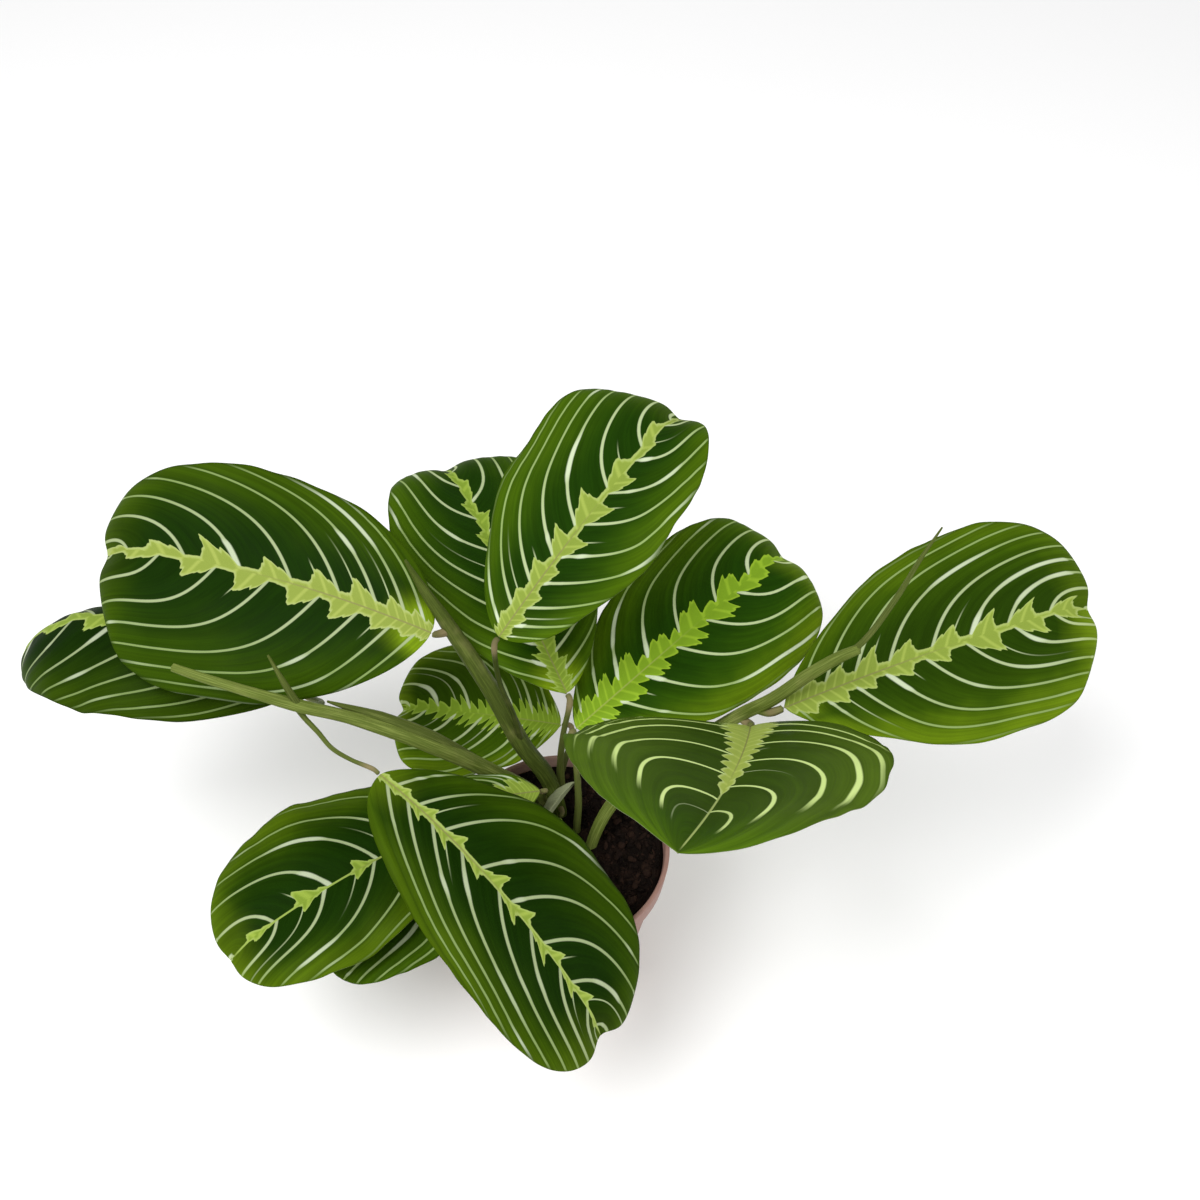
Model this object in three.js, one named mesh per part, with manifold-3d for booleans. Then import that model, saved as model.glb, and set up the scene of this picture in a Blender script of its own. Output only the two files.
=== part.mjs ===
// A prayer plant, Maranta, in a plain round pot. Millimetres, +Z up. The pot's foot is on z = 0 and its
// axis on x = y = 0, and the broad open side of the plant faces -Y. Leaves, shoots, soil and pot are
// separate solids, 0.3 mm apart where they meet.
import * as THREE from "three";
import Module from "manifold-3d";

const wasm = await Module();
wasm.setup();

// Driving dimensions
const POT_HEIGHT = 90;
const POT_RIM_RADIUS = 50;
const POT_FOOT_RADIUS = 34;
const RIM_BAND_HEIGHT = 13;
const RIM_STEP = 2.4;
const BAND_TAPER = 1.3;
const WALL = 2;
const FLOOR = 2.8;
const DRAIN_HOLE_RADIUS = 3.5;
const DRAIN_HOLE_CIRCLE = 22;
const DRAIN_HOLES = 6;
const DRAIN_HOLE_SIDES = 12;
const SOIL_LEVEL = 84.5;
const SOIL_LUMP = 1.2;
const STEM_FOOT = 62;
const FIT_GAP = 0.3;
const STALK_CLEARANCE = 0.1;
const STEM_HOLE_CLEARANCE = 0.05;
const BLADE_THICKNESS = 0.9;
const BLADE_STATIONS = 16;
const BLADE_CELLS = 4;
const ROUND_SIDES = 44;
const STEM_SIDES = 8;
const TIP_CAP = 0.5;
const STEM_STEPS = 4;
const MIDRIB_STEPS = 200;

const GREEN_DEEP = 0x1f3f0c;
const GREEN_MID = 0x2c4d10;
const GREEN_SOFT = 0x3a4f14;
const GREY_GREEN = 0x7b8064;
const SHOOT_OLIVE = 0x5b7a20;
const STALK_OLIVE = 0x4f5c2c;
const POT_CLAY = 0xa68979;
const SOIL_BROWN = 0x1a110e;

const radians = THREE.MathUtils.degToRad;
const group = new THREE.Group();
group.name = "potted_prayer_plant";

function addNode(name, geometry, colour, roughness) {
  const material = new THREE.MeshStandardMaterial({ color: colour, roughness, metalness: 0 });
  const mesh = new THREE.Mesh(geometry, material);
  mesh.name = name;
  group.add(mesh);
}

// Solids are joined and cut here, and go back to plain geometry.
function toSolid(geometry) {
  const positions = geometry.getAttribute("position").array;
  return new wasm.Manifold(
    new wasm.Mesh({
      numProp: 3,
      vertProperties: new Float32Array(positions),
      triVerts: new Uint32Array(geometry.index.array),
    }),
  );
}

function toGeometry(solid) {
  const mesh = solid.getMesh();
  const stride = mesh.numProp;
  const positions = new Float32Array(mesh.numVert * 3);
  for (let i = 0; i < mesh.numVert; i++) {
    positions.set(mesh.vertProperties.subarray(i * stride, i * stride + 3), i * 3);
  }
  return indexed(positions, mesh.triVerts);
}

function indexed(positions, triangles) {
  const geometry = new THREE.BufferGeometry();
  geometry.setAttribute("position", new THREE.BufferAttribute(new Float32Array(positions), 3));
  geometry.setIndex(new THREE.BufferAttribute(new Uint32Array(triangles), 1));
  geometry.computeVertexNormals();
  return geometry;
}

// A round solid from a profile of [radius, height] pairs that starts and ends on the axis, its inside
// on the left.
function turned(profile, sides, lift) {
  const positions = [];
  const triangles = [];
  const last = profile.length - 1;
  positions.push(0, 0, profile[0][1]);
  for (let k = 1; k < last; k++) {
    for (let i = 0; i < sides; i++) {
      const angle = (2 * Math.PI * i) / sides;
      const [radius, height] = profile[k];
      const extra = lift ? lift(k, i, radius) : 0;
      positions.push(radius * Math.cos(angle), radius * Math.sin(angle), height + extra);
    }
  }
  positions.push(0, 0, profile[last][1] + (lift ? lift(last, 0, 0) : 0));
  const end = positions.length / 3 - 1;
  const at = (k, i) => 1 + (k - 1) * sides + (i % sides);
  for (let i = 0; i < sides; i++) {
    triangles.push(0, at(1, i + 1), at(1, i));
    triangles.push(end, at(last - 1, i), at(last - 1, i + 1));
    for (let k = 1; k < last - 1; k++) {
      triangles.push(at(k, i), at(k, i + 1), at(k + 1, i));
      triangles.push(at(k, i + 1), at(k + 1, i + 1), at(k + 1, i));
    }
  }
  return indexed(positions, triangles);
}

// A tapering stem through points of [x, y, z, radius], round in section, with blunt ends.
function stemGeometry(points, { extra = 0, cap = TIP_CAP, sides = STEM_SIDES } = {}) {
  const curve = new THREE.CatmullRomCurve3(
    points.map((p) => new THREE.Vector3(p[0], p[1], p[2])),
    false,
    "centripetal",
  );
  const steps = (points.length - 1) * STEM_STEPS;
  const positions = [];
  const triangles = [];
  let across = new THREE.Vector3(1, 0, 0);
  const centre = new THREE.Vector3();
  const first = curve.getPoint(0);
  const start = curve.getTangent(0);
  const capStart = first.clone().addScaledVector(start, -(cap * points[0][3] + extra * 2));
  positions.push(capStart.x, capStart.y, capStart.z);
  for (let k = 0; k <= steps; k++) {
    const t = k / steps;
    const along = curve.getTangent(t);
    curve.getPoint(t, centre);
    across.addScaledVector(along, -across.dot(along)).normalize();
    const other = along.clone().cross(across);
    const place = t * (points.length - 1);
    const lower = Math.min(Math.floor(place), points.length - 2);
    const part = place - lower;
    const radius = points[lower][3] * (1 - part) + points[lower + 1][3] * part + extra;
    for (let i = 0; i < sides; i++) {
      const angle = (2 * Math.PI * i) / sides;
      const x = radius * Math.cos(angle);
      const y = radius * Math.sin(angle);
      positions.push(
        centre.x + across.x * x + other.x * y,
        centre.y + across.y * x + other.y * y,
        centre.z + across.z * x + other.z * y,
      );
    }
  }
  const tip = curve.getPoint(1).addScaledVector(curve.getTangent(1), cap * points.at(-1)[3] + extra * 2);
  positions.push(tip.x, tip.y, tip.z);
  const end = positions.length / 3 - 1;
  const at = (k, i) => 1 + k * sides + (i % sides);
  for (let i = 0; i < sides; i++) {
    triangles.push(0, at(0, i + 1), at(0, i));
    triangles.push(end, at(steps, i), at(steps, i + 1));
    for (let k = 0; k < steps; k++) {
      triangles.push(at(k, i), at(k, i + 1), at(k + 1, i));
      triangles.push(at(k, i + 1), at(k + 1, i + 1), at(k + 1, i));
    }
  }
  return indexed(positions, triangles);
}

// Leaf blades
const smoothStep = (from, to, x) => {
  const t = Math.min(Math.max((x - from) / (to - from), 0), 1);
  return t * t * (3 - 2 * t);
};

// The half-width of a blade along its midrib, as a share of its widest.
const outlineAt = (u, rise, fall) => {
  const widest = rise / (rise + fall);
  return (u ** rise * (1 - u) ** fall) / (widest ** rise * (1 - widest) ** fall);
};

const PLAIN_LEAF = {
  turn: 0,
  curl: 35,
  curlFrom: 0.8,
  bend: 1,
  roll: 0,
  rollEnd: null,
  fold: 8,
  droop: 22,
  foldRight: null,
  droopRight: null,
  rise: 0.7,
  fall: 0.42,
  riseRight: null,
  fallRight: null,
  wave: 2,
  waves: 2.5,
  phase: 0,
};

const pitchAt = (leaf, t) =>
  leaf.pitch + (leaf.pitchEnd - leaf.pitch) * t ** leaf.bend - leaf.curl * smoothStep(leaf.curlFrom, 1, t);

function midribDirection(leaf, t) {
  const pitch = radians(pitchAt(leaf, t));
  const heading = radians(leaf.heading + leaf.turn * t);
  return new THREE.Vector3(
    Math.cos(heading) * Math.cos(pitch),
    Math.sin(heading) * Math.cos(pitch),
    Math.sin(pitch),
  );
}

function midribPoints(leaf) {
  const points = [new THREE.Vector3(...leaf.base)];
  for (let i = 0; i < MIDRIB_STEPS; i++) {
    const step = midribDirection(leaf, (i + 0.5) / MIDRIB_STEPS).multiplyScalar(leaf.length / MIDRIB_STEPS);
    points.push(points[i].clone().add(step));
  }
  return points;
}

function bladeGeometry(leaf) {
  const midrib = midribPoints(leaf);
  const stations = [];
  for (let i = 0; i <= BLADE_STATIONS; i++) {
    const u = (1 - Math.cos((Math.PI * i) / BLADE_STATIONS)) / 2;
    const place = u * MIDRIB_STEPS;
    const lower = Math.min(Math.floor(place), MIDRIB_STEPS - 1);
    const centre = midrib[lower].clone().lerp(midrib[lower + 1], place - lower);
    const along = midribDirection(leaf, u);
    const heading = radians(leaf.heading + leaf.turn * u);
    const level = new THREE.Vector3(-Math.sin(heading), Math.cos(heading), 0);
    const upright = along.clone().cross(level);
    const roll = radians(leaf.roll + ((leaf.rollEnd ?? leaf.roll) - leaf.roll) * u);
    const side = level.clone().multiplyScalar(Math.cos(roll)).addScaledVector(upright, Math.sin(roll));
    const up = upright.clone().multiplyScalar(Math.cos(roll)).addScaledVector(level, -Math.sin(roll));
    stations.push({ u, centre, side, up });
  }
  const positions = [];
  const triangles = [];
  const half = BLADE_THICKNESS / 2;
  const across = 2 * BLADE_CELLS + 1;
  const rows = BLADE_STATIONS - 1;
  // Both faces hold the same vertices in the same order: the base, the rows from right to left, and the tip.
  for (const face of [1, -1]) {
    const addPoint = (p, normal) => {
      const q = p.clone().addScaledVector(normal, face * half);
      positions.push(q.x, q.y, q.z);
    };
    addPoint(stations[0].centre, stations[0].up);
    for (const { u, centre, side, up } of stations.slice(1, -1)) {
      for (let j = -BLADE_CELLS; j <= BLADE_CELLS; j++) {
        const hand = Math.sign(j);
        const b = Math.abs(j) / BLADE_CELLS;
        const isRight = hand < 0;
        const fold = radians(isRight ? (leaf.foldRight ?? leaf.fold) : leaf.fold);
        const droop = Math.max(radians(isRight ? (leaf.droopRight ?? leaf.droop) : leaf.droop), 0.001);
        const rise = isRight ? (leaf.riseRight ?? leaf.rise) : leaf.rise;
        const fall = isRight ? (leaf.fallRight ?? leaf.fall) : leaf.fall;
        const width = (isRight ? leaf.widthRight : leaf.widthLeft) * outlineAt(u, rise, fall);
        const out = ((Math.sin(fold) - Math.sin(fold - droop * b)) / droop) * width;
        const ripple =
          leaf.wave * b * b * outlineAt(u, 0.5, 0.5) *
          Math.sin(2 * Math.PI * (leaf.waves * u + leaf.phase + 0.25 * hand));
        const lift = ((Math.cos(fold - droop * b) - Math.cos(fold)) / droop) * width + ripple;
        const slope = j === 0 ? 0 : fold - droop * b;
        const point = centre.clone().addScaledVector(side, hand * out).addScaledVector(up, lift);
        const normal = up.clone().multiplyScalar(Math.cos(slope));
        normal.addScaledVector(side, -hand * Math.sin(slope));
        addPoint(point, normal);
      }
    }
    addPoint(stations.at(-1).centre, stations.at(-1).up);
  }
  const faceSize = 2 + rows * across;
  const at = (row, j) => 1 + row * across + j;
  const tip = faceSize - 1;
  const addBoth = (a, b, c) => {
    triangles.push(a, b, c);
    triangles.push(faceSize + a, faceSize + c, faceSize + b);
  };
  for (let j = 0; j < across - 1; j++) {
    addBoth(0, at(0, j), at(0, j + 1));
    addBoth(tip, at(rows - 1, j + 1), at(rows - 1, j));
    for (let row = 0; row < rows - 1; row++) {
      addBoth(at(row, j), at(row + 1, j), at(row, j + 1));
      addBoth(at(row, j + 1), at(row + 1, j), at(row + 1, j + 1));
    }
  }
  const rim = [0];
  for (let row = 0; row < rows; row++) {
    rim.push(at(row, 0));
  }
  rim.push(tip);
  for (let row = rows - 1; row >= 0; row--) {
    rim.push(at(row, across - 1));
  }
  rim.forEach((a, i) => {
    const b = rim[(i + 1) % rim.length];
    triangles.push(a, faceSize + a, b);
    triangles.push(b, faceSize + a, faceSize + b);
  });
  return indexed(positions, triangles);
}

// Each leaf: where its blade starts, how long it is, which way it points and how it bends, in degrees.
const LEAVES = {
  leaf_left_upper: {
    base: [-53, 44, 190], length: 161, heading: 160, turn: 6, pitch: 11, pitchEnd: -8, curl: 30,
    widthLeft: 58, widthRight: 47, roll: -26, rise: 0.6, riseRight: 0.55, wave: 3, waves: 2,
  },
  leaf_back: {
    base: [4, 31, 165], length: 150, heading: 115, pitch: 14, pitchEnd: -4,
    widthLeft: 43, widthRight: 46, fold: 10, droop: 20, roll: 6, fall: 0.5, fallRight: 0.42,
  },
  leaf_top: {
    base: [-23, 30, 205], length: 138, heading: 54, pitch: 20, pitchEnd: 6,
    widthLeft: 49, widthRight: 36, fold: 12, droop: 25, roll: -2, fall: 0.33, riseRight: 0.5, fallRight: 0.5,
  },
  leaf_right_inner: {
    base: [8, 23, 150], length: 142, heading: 41, turn: 7, pitch: 12, pitchEnd: -2,
    widthLeft: 41, widthRight: 45, fold: 10, droop: 20, droopRight: 38, roll: 8, fall: 0.4,
  },
  leaf_right_outer: {
    base: [98, 29, 157], length: 153, heading: 19, pitch: 11, pitchEnd: 0, curl: 25,
    widthLeft: 51, widthRight: 46, droop: 20, droopRight: 28, roll: 8, rollEnd: 24, rise: 0.8, fallRight: 0.5,
  },
  leaf_front_right: {
    base: [84, 27, 145.6], length: 156, heading: -101, turn: -15, pitch: 40, pitchEnd: 34, curl: 0,
    widthLeft: 62, widthRight: 68, fold: 24, droop: 32, foldRight: 25, droopRight: 34, roll: 8,
    rise: 0.5, fall: 0.74, riseRight: 0.72, fallRight: 0.8,
  },
  leaf_left_outer: {
    base: [-116, 45, 148], length: 171, heading: 155.5, turn: 25, pitch: 25, pitchEnd: -77, bend: 1.74,
    curl: 0, widthLeft: 46, widthRight: 31, fold: 14, droop: 34, foldRight: -38, droopRight: 50,
    roll: -17, fall: 0.8,
  },
  leaf_front_left: {
    base: [-35, 7, 108], length: 127, heading: -152, turn: 11, pitch: 6, pitchEnd: -10, curl: 20,
    widthLeft: 37, widthRight: 47, droop: 25, rise: 0.65, fall: 0.45,
  },
  leaf_front: {
    base: [-74, -4, 155], length: 154, heading: -38, turn: -9, pitch: -8, pitchEnd: -50, curl: 10,
    widthLeft: 45, widthRight: 37, fold: 3, droop: 20, foldRight: 8, droopRight: 25,
    rise: 0.75, fall: 0.55, riseRight: 0.45, fallRight: 0.3,
  },
  leaf_back_small: {
    base: [0, 49, 116], length: 82, heading: 168, pitch: -2, pitchEnd: -10, curl: 20,
    widthLeft: 34, widthRight: 38, droop: 20, roll: -10,
  },
  leaf_front_low: {
    base: [-18, 5, 97], length: 104, heading: -146, pitch: 2, pitchEnd: -15, curl: 10,
    widthLeft: 31, widthRight: 30, droop: 20,
  },
  leaf_crown_small: {
    base: [-8.2, 7, 125], length: 42, heading: -170, pitch: 4, pitchEnd: -8, curl: 15,
    widthLeft: 16, widthRight: 14, wave: 1, waves: 2,
  },
  leaf_soil_small: {
    base: [0, 13, 93], length: 34, heading: -108, pitch: 0, pitchEnd: -10, curl: 10,
    widthLeft: 9, widthRight: 9, wave: 0.6, waves: 2,
  },
  leaf_new_folded: {
    base: [7, 17.5, 116], length: 32, heading: -136, pitch: -25, pitchEnd: -50, curl: 0,
    widthLeft: 8, widthRight: 13, fold: 25, droop: 20, roll: 60, wave: 0.3, waves: 1, fall: 0.8,
  },
};

const LEAF_COLOURS = {
  leaf_front_right: GREEN_SOFT,
  leaf_front_left: GREEN_MID,
  leaf_right_outer: GREEN_MID,
  leaf_new_folded: GREY_GREEN,
};

for (const [name, own] of Object.entries(LEAVES)) {
  LEAVES[name] = { ...PLAIN_LEAF, ...own };
  addNode(name, bladeGeometry(LEAVES[name]), LEAF_COLOURS[name] ?? GREEN_DEEP, 0.45);
}

// The last two points of the stalk that carries a leaf: in line with its midrib, and FIT_GAP short
// of its blade.
function stalkEnd(name, radius, approach = 4) {
  const leaf = LEAVES[name];
  const along = midribDirection(leaf, 0);
  const back = (distance) => new THREE.Vector3(...leaf.base).addScaledVector(along, -distance);
  const close = FIT_GAP + STALK_CLEARANCE + TIP_CAP * radius;
  return [close + approach, close].map((distance) => [...back(distance).toArray(), radius]);
}

// Shoots and leaf stalks, each a list of tubes of [x, y, z, radius]. The first tube stands in the soil.
const STEMS = {
  shoot_back: [
    [
      [-0.5, 20.5, STEM_FOOT, 2.8], [-0.5, 20.5, 86, 3.4], [-6, 27, 105, 3.9], [-16.5, 28, 130, 4.2],
      [-28.5, 34, 162, 4], [-47, 49, 191, 3.2], [-56, 55, 206, 2], [-62.5, 60, 218, 0.6],
    ],
    [[-16.5, 28, 130, 1.6], [-19, 24.5, 158, 1.2], [-24, 25, 182, 1.1], ...stalkEnd("leaf_top", 1.1, 2)],
    [[-45, 47.5, 187, 1.7], ...stalkEnd("leaf_left_upper", 1.4, 0.6)],
    [[-0.5, 20.5, 91, 1.2], ...stalkEnd("leaf_soil_small", 1, 2)],
  ],
  shoot_left: [
    [
      [-9.5, 27, STEM_FOOT, 2.8], [-9.5, 27, 86, 3.2], [-31.5, 22.5, 117.5, 3.8], [-55.5, 19, 143.7, 4],
      [-88, 18.3, 164.8, 2.8], [-107.5, 16.3, 176, 2.8], [-126, 16.5, 185.2, 2.3], [-146.5, 21, 189.7, 2],
      [-158, 24.5, 191.5, 1.8],
    ],
    [[-31.5, 22.5, 118, 3], [-55.5, 21, 146, 3.3], [-76, 21.8, 160, 2.7], [-97, 22.5, 170.5, 0.5]],
    [
      [-109, 16.8, 176.5, 1.6], [-106, 15, 169.5, 1.2], [-100.3, 10.6, 165, 1.1], [-94.5, 5.3, 161, 1],
      [-86.5, 1.5, 158, 0.9], ...stalkEnd("leaf_front", 0.9, 3),
    ],
    [[-104, 16.5, 174, 1.7], [-102, 30, 159, 1.4], ...stalkEnd("leaf_left_outer", 1.4)],
    [[-107.5, 16.3, 176, 1.8], [-111.5, 18.5, 188, 1.4], [-117.5, 25, 199, 0.5]],
  ],
  shoot_right: [
    [
      [14.5, 4, STEM_FOOT, 2.4], [14.5, 4, 86, 2.7], [25, 15.5, 104, 3], [54, 28.2, 124.6, 3],
      [79, 34.6, 142.7, 3], [93, 31.5, 160, 3], [107, 34.5, 173, 2.8], [119.5, 37.5, 181.5, 2.6],
      [127, 38, 186.5, 2.2],
    ],
    [
      [117, 37, 181, 1.3], [127, 39, 187.5, 1.4], [142.5, 54, 200, 1.3], [153.5, 68.5, 209, 1],
      [163, 79.5, 217, 0.4],
    ],
    [[79, 35, 143, 1.8], [82, 32.5, 142.2, 1.7], ...stalkEnd("leaf_front_right", 1.6, 2)],
    [[86, 33, 150.5, 1.8], [91, 29.5, 152.5, 1.7], ...stalkEnd("leaf_right_outer", 1.6, 2)],
  ],
  stem_back: [
    [
      [0, 31, STEM_FOOT, 2], [0, 31, 86, 2.1], [0, 32, 108, 1.7], [2, 27, 140, 1.3],
      ...stalkEnd("leaf_back", 1.2, 2),
    ],
    [[0, 32, 100, 1.5], [4, 41, 111, 1.2], ...stalkEnd("leaf_back_small", 1.1)],
  ],
  stem_inner: [
    [
      [7.5, 11, STEM_FOOT, 1.7], [7.5, 11, 86, 1.8], [8.5, 13, 108, 1.6], [7.5, 17.5, 132, 1.3],
      ...stalkEnd("leaf_right_inner", 1.2, 2),
    ],
    [[8.4, 13.5, 112, 1], ...stalkEnd("leaf_new_folded", 0.8, 1.5)],
  ],
  stem_front_left: [
    [
      [-14, 15, STEM_FOOT, 1.6], [-14, 15, 86, 1.7], [-24.5, 10.5, 103, 1.6],
      ...stalkEnd("leaf_front_left", 1.4),
    ],
  ],
  stem_front_low: [
    [[-7, 8, STEM_FOOT, 1.5], [-7, 8, 86, 1.5], ...stalkEnd("leaf_front_low", 1.3, 5)],
  ],
  stem_crown: [
    [
      [-7.5, 17, STEM_FOOT, 1.3], [-7.5, 17, 86, 1.4], [-12, 17, 104, 1.2], [-9, 11.5, 117, 1.1],
      ...stalkEnd("leaf_crown_small", 1, 1.5),
    ],
  ],
};

for (const [name, tubes] of Object.entries(STEMS)) {
  let joined = toSolid(stemGeometry(tubes[0]));
  for (const tube of tubes.slice(1)) {
    joined = joined.add(toSolid(stemGeometry(tube)));
  }
  const isShoot = name.startsWith("shoot");
  addNode(name, toGeometry(joined), isShoot ? SHOOT_OLIVE : STALK_OLIVE, 0.5);
}

// Pot: tapered, with a plain band round the rim and drain holes in its floor.
const bandFoot = POT_HEIGHT - RIM_BAND_HEIGHT;
const bandRadius = POT_RIM_RADIUS - BAND_TAPER;
const wallTop = bandRadius - RIM_STEP;
const potProfile = [
  [0, 0],
  [POT_FOOT_RADIUS - 1, 0],
  [POT_FOOT_RADIUS, 1],
  [wallTop - 0.3, bandFoot - 1],
  [bandRadius, bandFoot],
  [POT_RIM_RADIUS, POT_HEIGHT - 1],
  [POT_RIM_RADIUS - 0.5, POT_HEIGHT],
  [POT_RIM_RADIUS - WALL, POT_HEIGHT],
  [POT_RIM_RADIUS - WALL - 0.4, POT_HEIGHT - 1],
  [bandRadius - WALL, bandFoot + 1.5],
  [wallTop - 0.3 - WALL, bandFoot - 2],
  [POT_FOOT_RADIUS - WALL, FLOOR + 0.6],
  [POT_FOOT_RADIUS - WALL - 0.6, FLOOR],
  [0, FLOOR],
];
let pot = toSolid(turned(potProfile, ROUND_SIDES));
for (let i = 0; i < DRAIN_HOLES; i++) {
  const angle = (2 * Math.PI * (i + 0.5)) / DRAIN_HOLES;
  const x = DRAIN_HOLE_CIRCLE * Math.cos(angle);
  const y = DRAIN_HOLE_CIRCLE * Math.sin(angle);
  const from = [x, y, -1, DRAIN_HOLE_RADIUS];
  const to = [x, y, FLOOR + 1, DRAIN_HOLE_RADIUS];
  const bore = stemGeometry([from, to], { cap: 0, sides: DRAIN_HOLE_SIDES });
  pot = pot.subtract(toSolid(bore));
}
addNode("pot", toGeometry(pot), POT_CLAY, 0.6);

// Soil: fills the pot to just under its rim, with a lumpy top and a plain hole for each stem.
const hashed = (a, b) => {
  const value = Math.sin(a * 12.9898 + b * 78.233) * 43758.5453;
  return value - Math.floor(value);
};
const soilRings = [46.9, 43, 37.5, 31, 24, 16.5, 8.5];
const soilProfile = [
  [0, FLOOR + FIT_GAP],
  [POT_FOOT_RADIUS - WALL - 0.6 - FIT_GAP, FLOOR + FIT_GAP],
  [POT_FOOT_RADIUS - WALL - FIT_GAP, FLOOR + 0.8],
  [wallTop - 0.3 - WALL - FIT_GAP, bandFoot - 2],
  [bandRadius - WALL - FIT_GAP - 0.1, bandFoot + 1.6],
  ...soilRings.map((radius) => [radius, SOIL_LEVEL]),
  [0, SOIL_LEVEL],
];
const soilTopFrom = soilProfile.length - soilRings.length - 1;
const soilLift = (k, i, radius) => {
  if (k < soilTopFrom) {
    return 0;
  }
  const dome = 0.8 * (1 - (radius / POT_RIM_RADIUS) ** 2);
  return dome + SOIL_LUMP * (2 * hashed(k, i) - 1);
};
let soil = toSolid(turned(soilProfile, ROUND_SIDES, soilLift));
for (const tubes of Object.values(STEMS)) {
  soil = soil.subtract(toSolid(stemGeometry(tubes[0], { extra: FIT_GAP + STEM_HOLE_CLEARANCE })));
}
addNode("soil", toGeometry(soil), SOIL_BROWN, 0.95);

export default group;
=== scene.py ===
"""A prayer plant in a plain pot, as a Blender add-on: each operator makes one group of pieces.

Sizes are in metres, +Z up, the pot's foot on z = 0. The leaf and stem tables are in millimetres, as a
gardener would measure them, and MM turns them into metres.
"""

import math
from types import SimpleNamespace

import bmesh
import bpy
import numpy as np
from bpy.props import FloatProperty, FloatVectorProperty, IntProperty, PointerProperty
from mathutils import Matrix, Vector


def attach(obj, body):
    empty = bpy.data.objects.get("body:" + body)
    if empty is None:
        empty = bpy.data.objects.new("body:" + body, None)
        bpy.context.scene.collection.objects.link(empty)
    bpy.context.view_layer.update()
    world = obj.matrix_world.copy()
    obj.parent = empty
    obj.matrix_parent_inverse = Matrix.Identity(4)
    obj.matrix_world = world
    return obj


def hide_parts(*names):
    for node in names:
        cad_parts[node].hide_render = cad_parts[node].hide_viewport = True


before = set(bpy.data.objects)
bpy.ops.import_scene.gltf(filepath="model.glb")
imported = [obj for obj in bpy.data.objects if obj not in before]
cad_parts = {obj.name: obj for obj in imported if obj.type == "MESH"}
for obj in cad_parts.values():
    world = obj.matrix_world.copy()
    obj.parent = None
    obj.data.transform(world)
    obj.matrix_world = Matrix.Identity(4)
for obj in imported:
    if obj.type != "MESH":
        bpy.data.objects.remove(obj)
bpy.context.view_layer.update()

bl_info = {
    "name": "Potted prayer plant",
    "version": (1, 0, 0),
    "blender": (4, 5, 0),
    "location": "3D View > Sidebar > Prayer plant",
    "description": "Makes the leaves, shoots, pot and soil of a prayer plant and the stage it is seen on",
    "category": "Object",
}

MM = 0.001

# Leaves: where each blade starts (mm), its length, and how it points and bends (degrees). They follow the
# solids. Pairs are for the left hand and then the right.
# veins, crowding and offset: how many main veins, how they crowd towards the base, where the first one is.
# spread, lean and loop: how far out and how slanted the veins run, and how much they bend by the margin.
# band and lobe: the feather's half-width between its lobes and the length of its lobes, in mm.
# comb, slim and feather_end: many fine teeth, thinner lobes, and the share of the midrib the feather runs.
# shade: how light the ground is half way out, and the veins and feather with it;
# partly the leaf's own tone and partly painted light, lighter on a leaf the lamps leave dim and darker on a
# well-lit one. lime, glow and wash: yellow-green by the margin, by the base and all over, partly the leaf's
# colour and partly painted glow of light through the thin blade. bright: a greener feather.
# grey: a greyer blade, painted sheen of glancing light, with looped veins. plain: no pattern.
PLAIN_LEAF = {
    "turn": 0, "curl": 35, "curl_from": 0.8, "bend": 1, "roll": 0, "roll_end": None,
    "fold": 8, "droop": 22, "fold_right": None, "droop_right": None,
    "rise": 0.7, "fall": 0.42, "rise_right": None, "fall_right": None,
    "wave": 2, "waves": 2.5, "phase": 0, "notch": 3,
    "veins": (9, 9), "spread": (1.2, 1.2), "lean": (0.2, 0.2), "offset": (0.1, 0.5), "crowding": 0.62,
    "loop": 0, "band": 2, "lobe": 6, "comb": 0, "slim": 0, "feather_end": 1, "bright": 0.4,
    "shade": 1, "grey": 0, "lime": (0.3, 0.3), "glow": 0.4, "wash": 0, "plain": 0, "seed": 1,
}
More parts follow.
